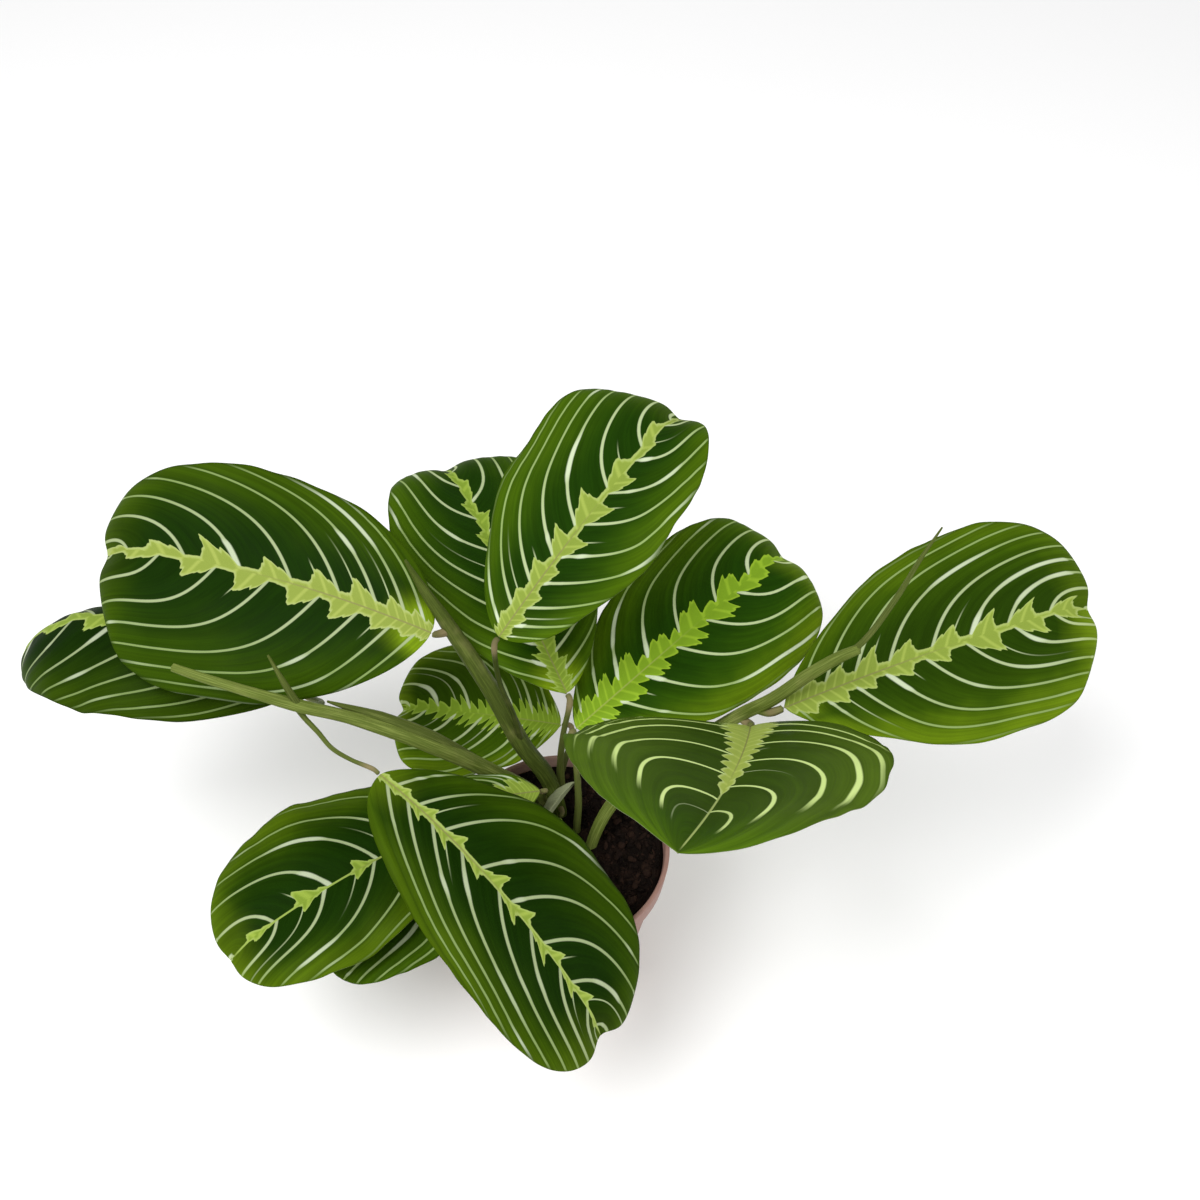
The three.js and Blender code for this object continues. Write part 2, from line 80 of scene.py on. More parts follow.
LEAVES = {
    "leaf_left_upper": dict(
        base=(-53, 44, 190), length=161, heading=160, turn=6, pitch=11, pitch_end=-8, curl=30,
        width_left=58, width_right=47, roll=-26, rise=0.6, rise_right=0.55, wave=3, waves=2,
        veins=(8, 8), spread=(1.05, 1.26), lean=(0.15, 0.265), band=2.2, lobe=8, bright=0, lime=(0.05, 0.12),
        glow=1.8, shade=0.7, seed=11),
    "leaf_back": dict(
        base=(4, 31, 165), length=150, heading=115, pitch=14, pitch_end=-4,
        width_left=43, width_right=46, fold=10, droop=20, roll=6, fall=0.5, fall_right=0.42,
        band=1.8, lobe=6.5, comb=0.3, slim=1.3, bright=0.6, lime=(0.15, 0.1), glow=1.5, seed=12),
    "leaf_top": dict(
        base=(-23, 30, 205), length=138, heading=54, pitch=20, pitch_end=6,
        width_left=49, width_right=36, fold=12, droop=25, roll=-2,
        fall=0.33, rise_right=0.5, fall_right=0.5,
        veins=(8, 9), spread=(1.12, 1.32), lean=(0.27, 0.13), offset=(0.3, 0.7), band=1.9, lobe=6.5,
        bright=0.2, lime=(0.15, 0.25), glow=0.2, seed=13),
    "leaf_right_inner": dict(
        base=(8, 23, 150), length=142, heading=41, turn=7, pitch=12, pitch_end=-2,
        width_left=41, width_right=45, fold=10, droop=20, droop_right=38, roll=8, fall=0.4,
        veins=(8, 8), lean=(0.17, 0.17), band=2, lobe=9, comb=0.5, bright=1, lime=(0.3, 1),
        shade=1.25, seed=14),
    "leaf_right_outer": dict(
        base=(98, 29, 157), length=153, heading=19, pitch=11, pitch_end=0, curl=25,
        width_left=51, width_right=46, droop=20, droop_right=28, roll=8, roll_end=24,
        rise=0.8, fall_right=0.5,
        veins=(9, 8.5), crowding=0.75, spread=(1.12, 1.12), lean=(0.25, 0.155), band=2.5, lobe=7.5,
        bright=0.2, lime=(0.35, 1), glow=1, wash=0.06, shade=0.85, seed=15),
    "leaf_front_right": dict(
        base=(84, 27, 145.6), length=156, heading=-101, turn=-15, pitch=40, pitch_end=34, curl=0,
        width_left=62, width_right=68, fold=24, droop=32, fold_right=25, droop_right=34, roll=8,
        rise=0.5, fall=0.74, rise_right=0.72, fall_right=0.8, notch=0,
        veins=(7, 7), spread=(1.12, 1), lean=(0.13, 0.12), crowding=0.6, loop=0.7, band=5, lobe=4.5, comb=1,
        feather_end=0.62, bright=0, lime=(0.1, 0.1), glow=0.1, shade=1.5, grey=0.8, seed=16),
    "leaf_left_outer": dict(
        base=(-116, 45, 148), length=171, heading=155.5, turn=25, pitch=25, pitch_end=-77, bend=1.74,
        curl=0, width_left=46, width_right=31, fold=14, droop=34, fold_right=-38, droop_right=50,
        roll=-17, fall=0.8,
        lime=(0.1, 0.1), shade=0.55, seed=17),
    "leaf_front_left": dict(
        base=(-35, 7, 108), length=127, heading=-152, turn=11, pitch=6, pitch_end=-10, curl=20,
        width_left=37, width_right=47, droop=25, rise=0.65, fall=0.45,
        veins=(6.5, 6.5), crowding=0.7, offset=(0.5, 0.5), notch=1.5, band=0.4, lobe=6, slim=1.5, bright=0.5,
        lime=(0.55, 0.45), shade=0.75, seed=18),
    "leaf_front": dict(
        base=(-74, -4, 155), length=154, heading=-38, turn=-9, pitch=-8, pitch_end=-50, curl=10,
        width_left=45, width_right=37, fold=3, droop=20, fold_right=8, droop_right=25,
        rise=0.75, fall=0.55, rise_right=0.45, fall_right=0.3, notch=5,
        veins=(8.3, 8.3), crowding=0.75, spread=(1.38, 1.1), lean=(0.19, 0.28), band=0.9, lobe=5.5, slim=1.4,
        bright=0.3, lime=(0.08, 0.3), shade=0.65, seed=19),
    "leaf_back_small": dict(
        base=(0, 49, 116), length=82, heading=168, pitch=-2, pitch_end=-10, curl=20,
        width_left=34, width_right=38, droop=20, roll=-10,
        veins=(8, 8), band=1.6, lobe=7.5, comb=0.85, bright=0.8, lime=(1, 1), glow=1.2,
        shade=1.35, wash=0.15, seed=20),
    "leaf_front_low": dict(
        base=(-18, 5, 97), length=104, heading=-146, pitch=2, pitch_end=-15, curl=10,
        width_left=31, width_right=30, droop=20, veins=(8, 8), band=1.2, lobe=4, lime=(0.1, 0.1), seed=21),
    "leaf_crown_small": dict(
        base=(-8.2, 7, 125), length=42, heading=-170, pitch=4, pitch_end=-8, curl=15,
        width_left=16, width_right=14, wave=1, waves=2, notch=0.5,
        veins=(5, 5), band=2.8, lobe=4.5, comb=0.5, bright=0.4, lime=(0.3, 0.3), seed=22),
    "leaf_soil_small": dict(
        base=(0, 13, 93), length=34, heading=-108, pitch=0, pitch_end=-10, curl=10,
        width_left=9, width_right=9, wave=0.6, waves=2, notch=0.5,
        veins=(6, 6), band=0.5, lobe=1.5, seed=23),
    "leaf_new_folded": dict(
        base=(7, 17.5, 116), length=32, heading=-136, pitch=-25, pitch_end=-50, curl=0,
        width_left=8, width_right=13, fold=25, droop=20, roll=60, wave=0.3, waves=1, fall=0.8, notch=0,
        plain=1, seed=24),
}
# The numbers of a leaf that its material reads.
LEAF_LOOKS = ("grey", "glow", "bright", "comb", "shade", "wash", "slim", "plain", "seed")
# What each place on a blade carries for the material.
BLADE_MEASURES = ("lateral", "gap", "edge", "along", "start", "under", "band", "lobe", "lime")
# The feather's band and lobes along the midrib: shares of its run, and the share of their size there.
BAND_SHAPE = ([0, 0.05, 0.15, 0.3, 0.5, 0.7, 0.85, 0.95, 1], [1.6, 2, 1.7, 1.1, 0.75, 0.6, 0.45, 0.3, 0])
LOBE_SHAPE = ([0, 0.08, 0.2, 0.45, 0.7, 0.85, 0.95, 1], [0.25, 0.45, 0.85, 1.1, 0.95, 0.65, 0.35, 0])
# A leaf shorter than FULL_LEAF (mm) has a shallower crinkle and a narrower notch, and one shorter than
# SMALL_LEAF has fewer faces and shallower quilting.
FULL_LEAF = 140
SMALL_LEAF = 60
SMALL_QUILTING = 0.4
# How wide the notch at the tip and the dip along the midrib are (mm), how deep the dip is beside the
# quilting, and how uneven margins and veins are.
NOTCH_WIDTH = 7
DIP_WIDTH = 1.6
DIP_DEPTH = 0.8
MARGIN_UNEVENNESS = 0.018
VEIN_UNEVENNESS = 0.16
MIDRIB_STEPS = 400

# Shoots and stalks: tubes of (x, y, z, radius) in mm. A leaf's name in place of a point ends the tube at its
# blade, with the stalk's radius and the length of its last straight piece.
STEM_FOOT = 62
STEM_RISE = 86


def upright(x, y, foot_radius, radius):
    """The part of a stem that stands in the soil."""
    return (x, y, STEM_FOOT, foot_radius), (x, y, STEM_RISE, radius)


STEMS = {
    "shoot_back": [
        [
            *upright(-0.5, 20.5, 2.8, 3.4), (-6, 27, 105, 3.9), (-16.5, 28, 130, 4.2), (-28.5, 34, 162, 4),
            (-47, 49, 191, 3.2), (-56, 55, 206, 2), (-62.5, 60, 218, 0.6),
        ],
        [(-16.5, 28, 130, 1.6), (-19, 24.5, 158, 1.2), (-24, 25, 182, 1.1), ("leaf_top", 1.1, 2)],
        [(-45, 47.5, 187, 1.7), ("leaf_left_upper", 1.4, 0.6)],
        [(-0.5, 20.5, 91, 1.2), ("leaf_soil_small", 1, 2)],
    ],
    "shoot_left": [
        [
            *upright(-9.5, 27, 2.8, 3.2), (-31.5, 22.5, 117.5, 3.8), (-55.5, 19, 143.7, 4),
            (-88, 18.3, 164.8, 2.8), (-107.5, 16.3, 176, 2.8), (-126, 16.5, 185.2, 2.3),
            (-146.5, 21, 189.7, 2), (-158, 24.5, 191.5, 1.8),
        ],
        [(-31.5, 22.5, 118, 3), (-55.5, 21, 146, 3.3), (-76, 21.8, 160, 2.7), (-97, 22.5, 170.5, 0.5)],
        [
            (-109, 16.8, 176.5, 1.6), (-106, 15, 169.5, 1.2), (-100.3, 10.6, 165, 1.1), (-94.5, 5.3, 161, 1),
            (-86.5, 1.5, 158, 0.9), ("leaf_front", 0.9, 3),
        ],
        [(-104, 16.5, 174, 1.7), (-102, 30, 159, 1.4), ("leaf_left_outer", 1.4, 4)],
        [(-107.5, 16.3, 176, 1.8), (-111.5, 18.5, 188, 1.4), (-117.5, 25, 199, 0.5)],
    ],
    "shoot_right": [
        [
            *upright(14.5, 4, 2.4, 2.7), (25, 15.5, 104, 3), (54, 28.2, 124.6, 3),
            (79, 34.6, 142.7, 3), (93, 31.5, 160, 3), (107, 34.5, 173, 2.8), (119.5, 37.5, 181.5, 2.6),
            (127, 38, 186.5, 2.2),
        ],
        [
            (117, 37, 181, 1.3), (127, 39, 187.5, 1.4), (142.5, 54, 200, 1.3), (153.5, 68.5, 209, 1),
            (163, 79.5, 217, 0.4),
        ],
        [(79, 35, 143, 1.8), (82, 32.5, 142.2, 1.7), ("leaf_front_right", 1.6, 2)],
        [(86, 33, 150.5, 1.8), (91, 29.5, 152.5, 1.7), ("leaf_right_outer", 1.6, 2)],
    ],
    "stem_back": [
        [*upright(0, 31, 2, 2.1), (0, 32, 108, 1.7), (2, 27, 140, 1.3), ("leaf_back", 1.2, 2)],
        [(0, 32, 100, 1.5), (4, 41, 111, 1.2), ("leaf_back_small", 1.1, 4)],
    ],
    "stem_inner": [
        [
            *upright(7.5, 11, 1.7, 1.8), (8.5, 13, 108, 1.6), (7.5, 17.5, 132, 1.3),
            ("leaf_right_inner", 1.2, 2),
        ],
        [(8.4, 13.5, 112, 1), ("leaf_new_folded", 0.8, 1.5)],
    ],
    "stem_front_left": [
        [*upright(-14, 15, 1.6, 1.7), (-24.5, 10.5, 103, 1.6), ("leaf_front_left", 1.4, 4)],
    ],
    "stem_front_low": [
        [*upright(-7, 8, 1.5, 1.5), ("leaf_front_low", 1.3, 5)],
    ],
    "stem_crown": [
        [
            *upright(-7.5, 17, 1.3, 1.4), (-12, 17, 104, 1.2), (-9, 11.5, 117, 1.1),
            ("leaf_crown_small", 1, 1.5),
        ],
    ],
}
# A stalk's end stands out by TIP_CAP of its radius and stops FIT_GAP and STALK_CLEARANCE (mm) short of its
# blade. The joint under the blade is JOINT_MIDDLE from the stalk's last ring and reaches JOINT_REACH each way
# (mm), where the stalk is thicker by JOINT_SWELL.
FIT_GAP = 0.3
STALK_CLEARANCE = 0.1
TIP_CAP = 0.5
JOINT_MIDDLE = 4.5
JOINT_REACH = 6.5
JOINT_SWELL = 0.15
TUBE_STEPS = 10
TUBE_UNEVENNESS = 0.03

# The pot and its soil, in metres.
BAND_TAPER = 0.0013
WALL_INSET = 0.0027
POT_FLOOR = 0.0028
POT_SIDES = 128
SHARP_ANGLE = math.radians(35)
SOIL_GAP = 0.0003
SOIL_FLOOR = 0.0032
SOIL_SIDES = 140
SOIL_RINGS = 44
DRAIN_HOLES = 6
DRAIN_HOLE_SIDES = 32
DRAIN_HOLE_RADIUS = 0.0035
DRAIN_HOLE_CIRCLE = 0.022
SOIL_TOP_INSET = 0.0031
LUMP_HEIGHT = 0.0011

# Crumbs: the seed of their draws, how far out they lie, their sizes, the room they leave round a stem, and
# the share of them that are flat flakes.
CRUMB_SEED = 41
CRUMB_REACH = 0.0455
CRUMB_SIZE = 0.0005
CRUMB_SIZE_RANGE = 0.0015
CRUMB_STEM_ROOM = 0.0036
FLAKE_SHARE = 0.12

# The stage, in metres, with the camera's sensor in mm.
FLOOR_HALF = 4.0
SENSOR_WIDTH = 36
LAMP_SIZE = 0.9
KEY_PLACE = (-0.5, -0.35, 1.3)
FILL_PLACE = (0.9, -0.6, 0.9)
LAMP_AIM = (0, 0, 0.15)


# Settings


def colour(name, description, default):
    return FloatVectorProperty(name=name, description=description, subtype="COLOR", default=default)


def length(name, description, default):
    return FloatProperty(name=name, description=description, unit="LENGTH", default=default)


class PlantSizes(bpy.types.PropertyGroup):
    blade_thickness: length("Blade thickness", "Thickness of a leaf blade", 0.0006)
    rows: IntProperty(name="Rows", description="Rows of faces along a large leaf", default=120)
    cells: IntProperty(name="Cells", description="Faces from the midrib to the margin", default=26)
    quilting: length("Quilting", "How far the blade swells between its veins", 0.0005)
    stem_sides: IntProperty(name="Stem sides", description="Faces round a stem", default=24)
    pot_height: length("Pot height", "Height of the pot", 0.09)
    rim_radius: length("Rim radius", "Outer radius of the rim", 0.05)
    foot_radius: length("Foot radius", "Radius of the foot", 0.034)
    band_height: length("Band height", "Height of the rim band", 0.013)
    wall: length("Wall", "Thickness of the pot's wall", 0.002)
    soil_level: length("Soil level", "Height of the soil", 0.0845)
    crumbs: IntProperty(name="Crumbs", description="Loose crumbs on the soil", default=1500)


class PlantColours(bpy.types.PropertyGroup):
    blade_dark: colour("Blade dark", "Blade beside the feather", (0.0085, 0.031, 0.001))
    blade_mid: colour("Blade middle", "Blade half way out", (0.034, 0.078, 0.0015))
    # Blade margin: partly the leaf's colour, partly painted glow of light through the thin blade.
    blade_edge: colour("Blade margin", "Blade at its margin", (0.13, 0.21, 0.005))
    # Painted sheen: greyer blade colours stand for light glancing off a blade seen at a low angle.
    blade_painted_sheen: colour("Blade grey", "Greyer blade, half way out", (0.056, 0.094, 0.009))
    blade_painted_sheen_dark: colour("Blade grey dark", "Greyer blade, by its veins", (0.03, 0.057, 0.004))
    vein: colour("Vein", "Main veins", (0.36, 0.43, 0.23))
    vein_outer: colour("Vein outer", "Main veins near the margin", (0.22, 0.31, 0.1))
    vein_lime: colour("Vein lime", "Main veins of a limier leaf", (0.4, 0.5, 0.17))
    # Painted sheen on the veins: the colour of their broad, nearly white stretches.
    vein_painted_sheen: colour("Vein swollen", "Broad stretches of a vein", (0.52, 0.59, 0.42))
    feather: colour("Feather", "Lime feather along the midrib", (0.29, 0.35, 0.075))
    feather_dark: colour("Feather dark", "Darker lines in the feather", (0.19, 0.25, 0.04))
    feather_bright: colour("Feather bright", "Feather of a greener leaf", (0.22, 0.35, 0.022))
    feather_bright_dark: colour("Feather bright dark", "Its darker lines", (0.12, 0.22, 0.01))
    midrib: colour("Midrib", "Line of the midrib", (0.2, 0.19, 0.07))
    underside: colour("Underside", "Underside of a leaf", (0.24, 0.265, 0.15))
    underside_vein: colour("Underside vein", "Veins of the underside", (0.3, 0.34, 0.16))
    shoot: colour("Shoot", "Thick shoots", (0.073, 0.1, 0.016))
    shoot_pale: colour("Shoot pale", "Pale streaks of the shoots", (0.16, 0.195, 0.045))
    shoot_deep: colour("Shoot deep", "The upright shoot", (0.038, 0.054, 0.008))
    joint: colour("Joint", "Joint under a blade", (0.26, 0.2, 0.11))
    stalk: colour("Stalk", "Thin leaf stalks", (0.068, 0.08, 0.02))
    pot: colour("Pot", "Wall of the pot", (0.27, 0.15, 0.122))
    pot_dust: colour("Pot dust", "Dusty bloom on the pot", (0.36, 0.23, 0.192))
    soil: colour("Soil", "Damp soil", (0.005, 0.0028, 0.002))
    soil_dry: colour("Soil dry", "Drier crumbs", (0.026, 0.013, 0.0085))
    floor: colour("Floor", "Floor and backdrop", (0.93, 0.93, 0.93))


class PlantStage(bpy.types.PropertyGroup):
    lens: FloatProperty(name="Lens", description="Focal length", default=44.1, unit="CAMERA")
    pitch: FloatProperty(
        name="Pitch", description="How far the camera looks down", default=math.radians(50), subtype="ANGLE")
    camera_x: length("Camera X", "Place of the camera, to the right", 0.01818)
    camera_y: length("Camera Y", "Place of the camera, to the back", -0.34384)
    camera_z: length("Camera Z", "Place of the camera, up", 0.67373)
    key_power: FloatProperty(name="Key power", description="Power of the key light", default=14, unit="POWER")
    fill_power: FloatProperty(
        name="Fill power", description="Power of the fill light", default=5, unit="POWER")
    sky: FloatProperty(name="Sky", description="Strength of the even light all round", default=0.75)


# Maths shared by leaves and stems


def smooth_step(low, high, x):
    t = np.clip((np.asarray(x, float) - low) / (high - low), 0, 1)
    return t * t * (3 - 2 * t)


def outline(u, rise, fall):
    """Half-width of a blade along its midrib, as a share of its widest."""
    widest = rise / (rise + fall)
    return u**rise * (1 - u) ** fall / (widest**rise * (1 - widest) ** fall)


def full_leaf(name):
    """A leaf's numbers with the plain ones filled in."""
    leaf = {**PLAIN_LEAF, **LEAVES[name]}
    for key, plain in (("roll_end", "roll"), ("fold_right", "fold"), ("droop_right", "droop"),
                       ("rise_right", "rise"), ("fall_right", "fall")):
        if leaf[key] is None:
            leaf[key] = leaf[plain]
    return leaf


def midrib_direction(leaf, t):
    t = np.asarray(t, float)
    curl = leaf["curl"] * smooth_step(leaf["curl_from"], 1, t)
    pitch = np.radians(leaf["pitch"] + (leaf["pitch_end"] - leaf["pitch"]) * t ** leaf["bend"] - curl)
    heading = np.radians(leaf["heading"] + leaf["turn"] * t)
    return np.stack([np.cos(heading) * np.cos(pitch), np.sin(heading) * np.cos(pitch), np.sin(pitch)], -1)


def midrib_points(leaf, u):
    """Points of the midrib at the shares u of its length, in mm."""
    middles = (np.arange(MIDRIB_STEPS) + 0.5) / MIDRIB_STEPS
    parts = midrib_direction(leaf, middles) * leaf["length"] / MIDRIB_STEPS
    line = np.vstack([np.zeros(3), np.cumsum(parts, 0)]) + np.array(leaf["base"], float)
    at = np.linspace(0, 1, MIDRIB_STEPS + 1)
    return np.stack([np.interp(u, at, line[:, k]) for k in range(3)], -1)


def vein_start(u, lateral, width, spread, lean):
    """The share of the midrib's length where the vein that passes through (u, lateral) leaves it.

    A vein that leaves the midrib at the share a is width * spread * (1 - a) * (1 - exp(-s / lean)) mm from
    it, where s is how far u has come from a towards the tip, as a share of what is left.
    """
    left = np.maximum(1 - u, 1e-4)
    shares = np.geomspace(4, 0.001, 600)
    reach = (1 - np.exp((shares - 1) / lean)) / shares
    return 1 - left / np.interp(lateral / (width * spread) / left, reach, shares)


def hashed(*numbers):
    """A fixed number from 0 to 1 for these numbers."""
    value = math.sin(sum(n * k for n, k in zip(numbers, (12.9898, 78.233, 37.719)))) * 43758.5453
    return value - math.floor(value)


def soft_noise(x, seed):
    """Smooth noise from -1 to 1 along x, fixed by its seed."""
    total = np.zeros_like(np.asarray(x, float))
    for k in range(1, 4):
        total += np.sin(2 * np.pi * (x * k + hashed(seed, k))) * (hashed(seed, k, 7) - 0.5) * 2 / k
    return total / 1.6


def store(mesh, key, numbers):
    """Stores a number at each vertex of a mesh, for its material to read."""
    attribute = mesh.attributes.new(key, "FLOAT", "POINT")
    attribute.data.foreach_set("value", np.array(numbers, np.float32))


def new_object(name, mesh):
    piece = bpy.data.objects.new(name, mesh)
    bpy.context.scene.collection.objects.link(piece)
    return piece


def finish_piece(piece, node, material):
    """Gives a piece its material, hangs it under the root body and hides the solid it stands for."""
    piece.data.materials.clear()
    piece.data.materials.append(material)
    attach(piece, "root")
    if node:
        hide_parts(node)


# Leaf blades


def blade_frame(leaf, u):
    """Points of the midrib and the directions along, across and up from it at the shares u."""
    along = midrib_direction(leaf, u)
    heading = np.radians(leaf["heading"] + leaf["turn"] * u)
    level = np.stack([-np.sin(heading), np.cos(heading), 0 * heading], -1)
    upright = np.cross(along, level)
    roll = np.radians(leaf["roll"] + (leaf["roll_end"] - leaf["roll"]) * u)[:, None]
    side = level * np.cos(roll) + upright * np.sin(roll)
    up = upright * np.cos(roll) - level * np.sin(roll)
    return midrib_points(leaf, u), along, side, up


def half_blade(leaf, hand, u, cells):
    """Points of one hand of a blade, 1 for left and -1 for right, from the midrib out, with its numbers."""
    centre, along, side, up = blade_frame(leaf, u)
    index, end, width = (0, "", leaf["width_left"]) if hand > 0 else (1, "_right", leaf["width_right"])
    small = min(leaf["length"] / FULL_LEAF, 1)
    rim = outline(u, 0.5, 0.5)
    wide = width * outline(u, leaf["rise" + end], leaf["fall" + end])
    wide = wide * (1 + MARGIN_UNEVENNESS * soft_noise(3 * u, leaf["seed"] + hand))
    b = (np.arange(cells + 1) / cells)[None, :]
    fold = math.radians(leaf["fold" + end])
    droop = max(math.radians(leaf["droop" + end]), 0.001)
    out = (math.sin(fold) - np.sin(fold - droop * b)) / droop * wide[:, None]
    ripple = np.sin(2 * np.pi * (leaf["waves"] * u + leaf["phase"] + 0.25 * hand)) * leaf["wave"] * rim
    crinkle = small * rim * soft_noise(5 * u, leaf["seed"] + 3 * hand)
    lift = (np.cos(fold - droop * b) - math.cos(fold)) / droop * wide[:, None]
    lift = lift + ripple[:, None] * b**2 + crinkle[:, None] * b**4
    points = centre[:, None] + side[:, None] * (hand * out)[..., None] + up[:, None] * lift[..., None]
    lateral = b * wide[:, None]
    # The end of the midrib is drawn in and down, so that the tip is blunt with a shallow notch.
    pull = leaf["notch"] * smooth_step(0.86, 1, u)[:, None] * np.exp(-((lateral / NOTCH_WIDTH / small) ** 2))
    points = points - along[:, None] * pull[..., None] - up[:, None] * (0.7 * pull)[..., None]
    # On a looped leaf the veins bend round and run beside the margin.
    reach = lateral + (b * width - lateral) * leaf["loop"]
    start = vein_start(u[:, None], reach, width, leaf["spread"][index], leaf["lean"][index])
    uneven = VEIN_UNEVENNESS * soft_noise(start * 1.7, leaf["seed"] + 5 * hand)
    phase = leaf["veins"][index] * np.sign(start) * np.abs(start) ** leaf["crowding"]
    return points, {
        "phase": phase + leaf["offset"][index] + uneven,
        "lateral": hand * lateral,
        "edge": b + 0 * lateral,
        "start": start,
        "lime": np.full(lateral.shape, float(leaf["lime"][index])),
    }


def blade_grid(leaf, rows, cells):
    """The middle surface of a blade and what it carries, as arrays of (rows + 1) by (2 cells + 1), in mm.

    Each hand has its own veins, so the midrib holds the phase of both.
    """
    u = (1 - np.cos(np.pi * np.arange(rows + 1) / rows)) / 2
    left_points, left = half_blade(leaf, 1, u, cells)
    right_points, right = half_blade(leaf, -1, u, cells)

    def join(on_left, on_right):
        return np.concatenate([on_right[:, :0:-1], on_left], 1)

    points = join(left_points, right_points)
    data = {key: join(left[key], right[key]) for key in ("lateral", "edge", "start", "lime")}
    data["lime"][:, cells] = sum(leaf["lime"]) / 2
    data["along"] = np.repeat(u[:, None], 2 * cells + 1, 1)
    middle = np.ones((1, cells))
    data["phase_left"] = np.concatenate([left["phase"][:, :1] * middle, left["phase"]], 1)
    data["phase_right"] = np.concatenate([right["phase"][:, ::-1], right["phase"][:, :1] * middle], 1)
    gaps = [1 / grid_gradient(p, d["phase"]) for p, d in ((left_points, left), (right_points, right))]
    data["gap"] = np.clip(join(*gaps), 0.5, 40)
    data["gap"][:, cells] = (gaps[0][:, 0] + gaps[1][:, 0]) / 2
    # The feather is broad at the blade's base and runs out before the tip.
    share = np.clip(data["start"] / leaf["feather_end"], 0, 1)
    near = 1 - smooth_step(0.2, 0.35, data["along"] - data["start"])
    data["band"] = near * leaf["band"] * np.interp(share, *BAND_SHAPE)
    more_teeth = 1.1 * leaf["comb"] * (1 - share) ** 3
    data["lobe"] = near * leaf["lobe"] * (np.interp(share, *LOBE_SHAPE) + more_teeth)
    return points, data


def grid_gradient(points, values):
    """How fast values change over the surface, per mm."""
    du, dv = np.gradient(points, axis=0), np.gradient(points, axis=1)
    fu, fv = np.gradient(values, axis=0), np.gradient(values, axis=1)
    e, f, g = (du * du).sum(-1), (du * dv).sum(-1), (dv * dv).sum(-1)
    flat = np.maximum(e * g - f * f, 1e-9)
    return np.sqrt(np.maximum((g * fu * fu - 2 * f * fu * fv + e * fv * fv) / flat, 1e-8))


def quilted(points, normal, data, depth):
    """The blade swells between its veins and dips along the midrib, by depth in mm."""
    phase = np.where(data["lateral"] >= 0, data["phase_left"], data["phase_right"])
    swell = np.sin(np.pi * phase) ** 2
    swell = swell * smooth_step(0.05, 0.25, data["edge"]) * (1 - smooth_step(0.85, 1, data["edge"]))
    swell *= smooth_step(0.02, 0.12, data["along"]) * (1 - smooth_step(0.9, 1, data["along"]))
    dip = np.exp(-((data["lateral"] / DIP_WIDTH) ** 2)) * (1 - smooth_step(0.75, 1, data["along"]))
    return points + normal * ((swell - DIP_DEPTH * dip) * depth)[..., None]


def blade_faces(rows, columns):
    """Faces of a blade's top, underside and rim. Each side starts with its base and ends with its tip."""
    layer = 2 + (rows - 1) * columns

    def at(row, k):
        return 1 + (row - 1) * columns + k

    top = []
    for k in range(columns - 1):
        top.append((0, at(1, k), at(1, k + 1)))
        top.append((layer - 1, at(rows - 1, k + 1), at(rows - 1, k)))
        for row in range(1, rows - 1):
            top.append((at(row, k), at(row + 1, k), at(row + 1, k + 1), at(row, k + 1)))
    below = [tuple(layer + i for i in reversed(face)) for face in top]
    right_rim = [at(row, 0) for row in range(1, rows)]
    left_rim = [at(row, columns - 1) for row in range(rows - 1, 0, -1)]
    rim = [0, *right_rim, layer - 1, *left_rim]
    return top + below + [(a, layer + a, layer + b, b) for a, b in zip(rim, rim[1:] + rim[:1])]


def make_blade(name, sizes):
    leaf = full_leaf(name)
    is_small = leaf["length"] < SMALL_LEAF
    rows, cells = (sizes.rows // 2, sizes.cells // 2) if is_small else (sizes.rows, sizes.cells)
    points, data = blade_grid(leaf, rows, cells)
    normal = np.cross(np.gradient(points, axis=0), np.gradient(points, axis=1))
    normal /= np.maximum(np.linalg.norm(normal, axis=-1, keepdims=True), 1e-9)
    depth = SMALL_QUILTING if is_small else 1
    points = quilted(points, normal, data, sizes.quilting / MM * depth)
    half = sizes.blade_thickness / MM / 2
    thin = 1 - 0.5 * data["edge"] ** 4
    inner = slice(1, rows)
    verts = []
    values = {key: [] for key in (*data, "under")}
    for under in (0, 1):
        moved = points + normal * ((1 - 2 * under) * half * thin)[..., None]
        verts += [moved[0, cells], *moved[inner].reshape(-1, 3), moved[rows, cells]]
        data["under"] = np.full(normal.shape[:2], max(under, leaf["plain"]))
        for key, array in data.items():
            values[key] += [array[0, cells], *array[inner].reshape(-1), array[rows, cells]]
    mesh = bpy.data.meshes.new(name)
    mesh.from_pydata([Vector(v) * MM for v in verts], [], blade_faces(rows, 2 * cells + 1))
    for key, numbers in values.items():
        store(mesh, key, numbers)
    for key in LEAF_LOOKS:
        store(mesh, "leaf_" + key, np.full(len(verts), float(leaf[key])))
    mesh.shade_smooth()
    mesh.update()
    add_blade_map(mesh, values, leaf)
    return mesh


def add_blade_map(mesh, values, leaf):
    """A UV map with the blade's top in the lower half of the picture and its underside in the upper half."""
    uv = mesh.uv_layers.new(name="OFBake")
    loops = np.zeros(len(mesh.loops), np.int32)
    mesh.loops.foreach_get("vertex_index", loops)
    along = np.array(values["along"])
    lateral = np.array(values["lateral"]) / leaf["length"]
    x = 0.02 + 0.96 * along
    y = 0.25 + lateral * 0.96 * 0.5
    y[len(along) // 2 :] += 0.5
    flat = np.stack([x[loops], y[loops]], -1).astype(np.float32)
    uv.data.foreach_set("uv", flat.ravel())


# Stems


def stalk_end(name, radius, approach):
    """The last two points of a stalk, in line with the midrib of the leaf it carries."""
    leaf = full_leaf(name)
    along = midrib_direction(leaf, 0.0)
    close = FIT_GAP + STALK_CLEARANCE + TIP_CAP * radius
    base = np.array(leaf["base"], float)
    return [(*(base - along * distance), radius) for distance in (close + approach, close)]


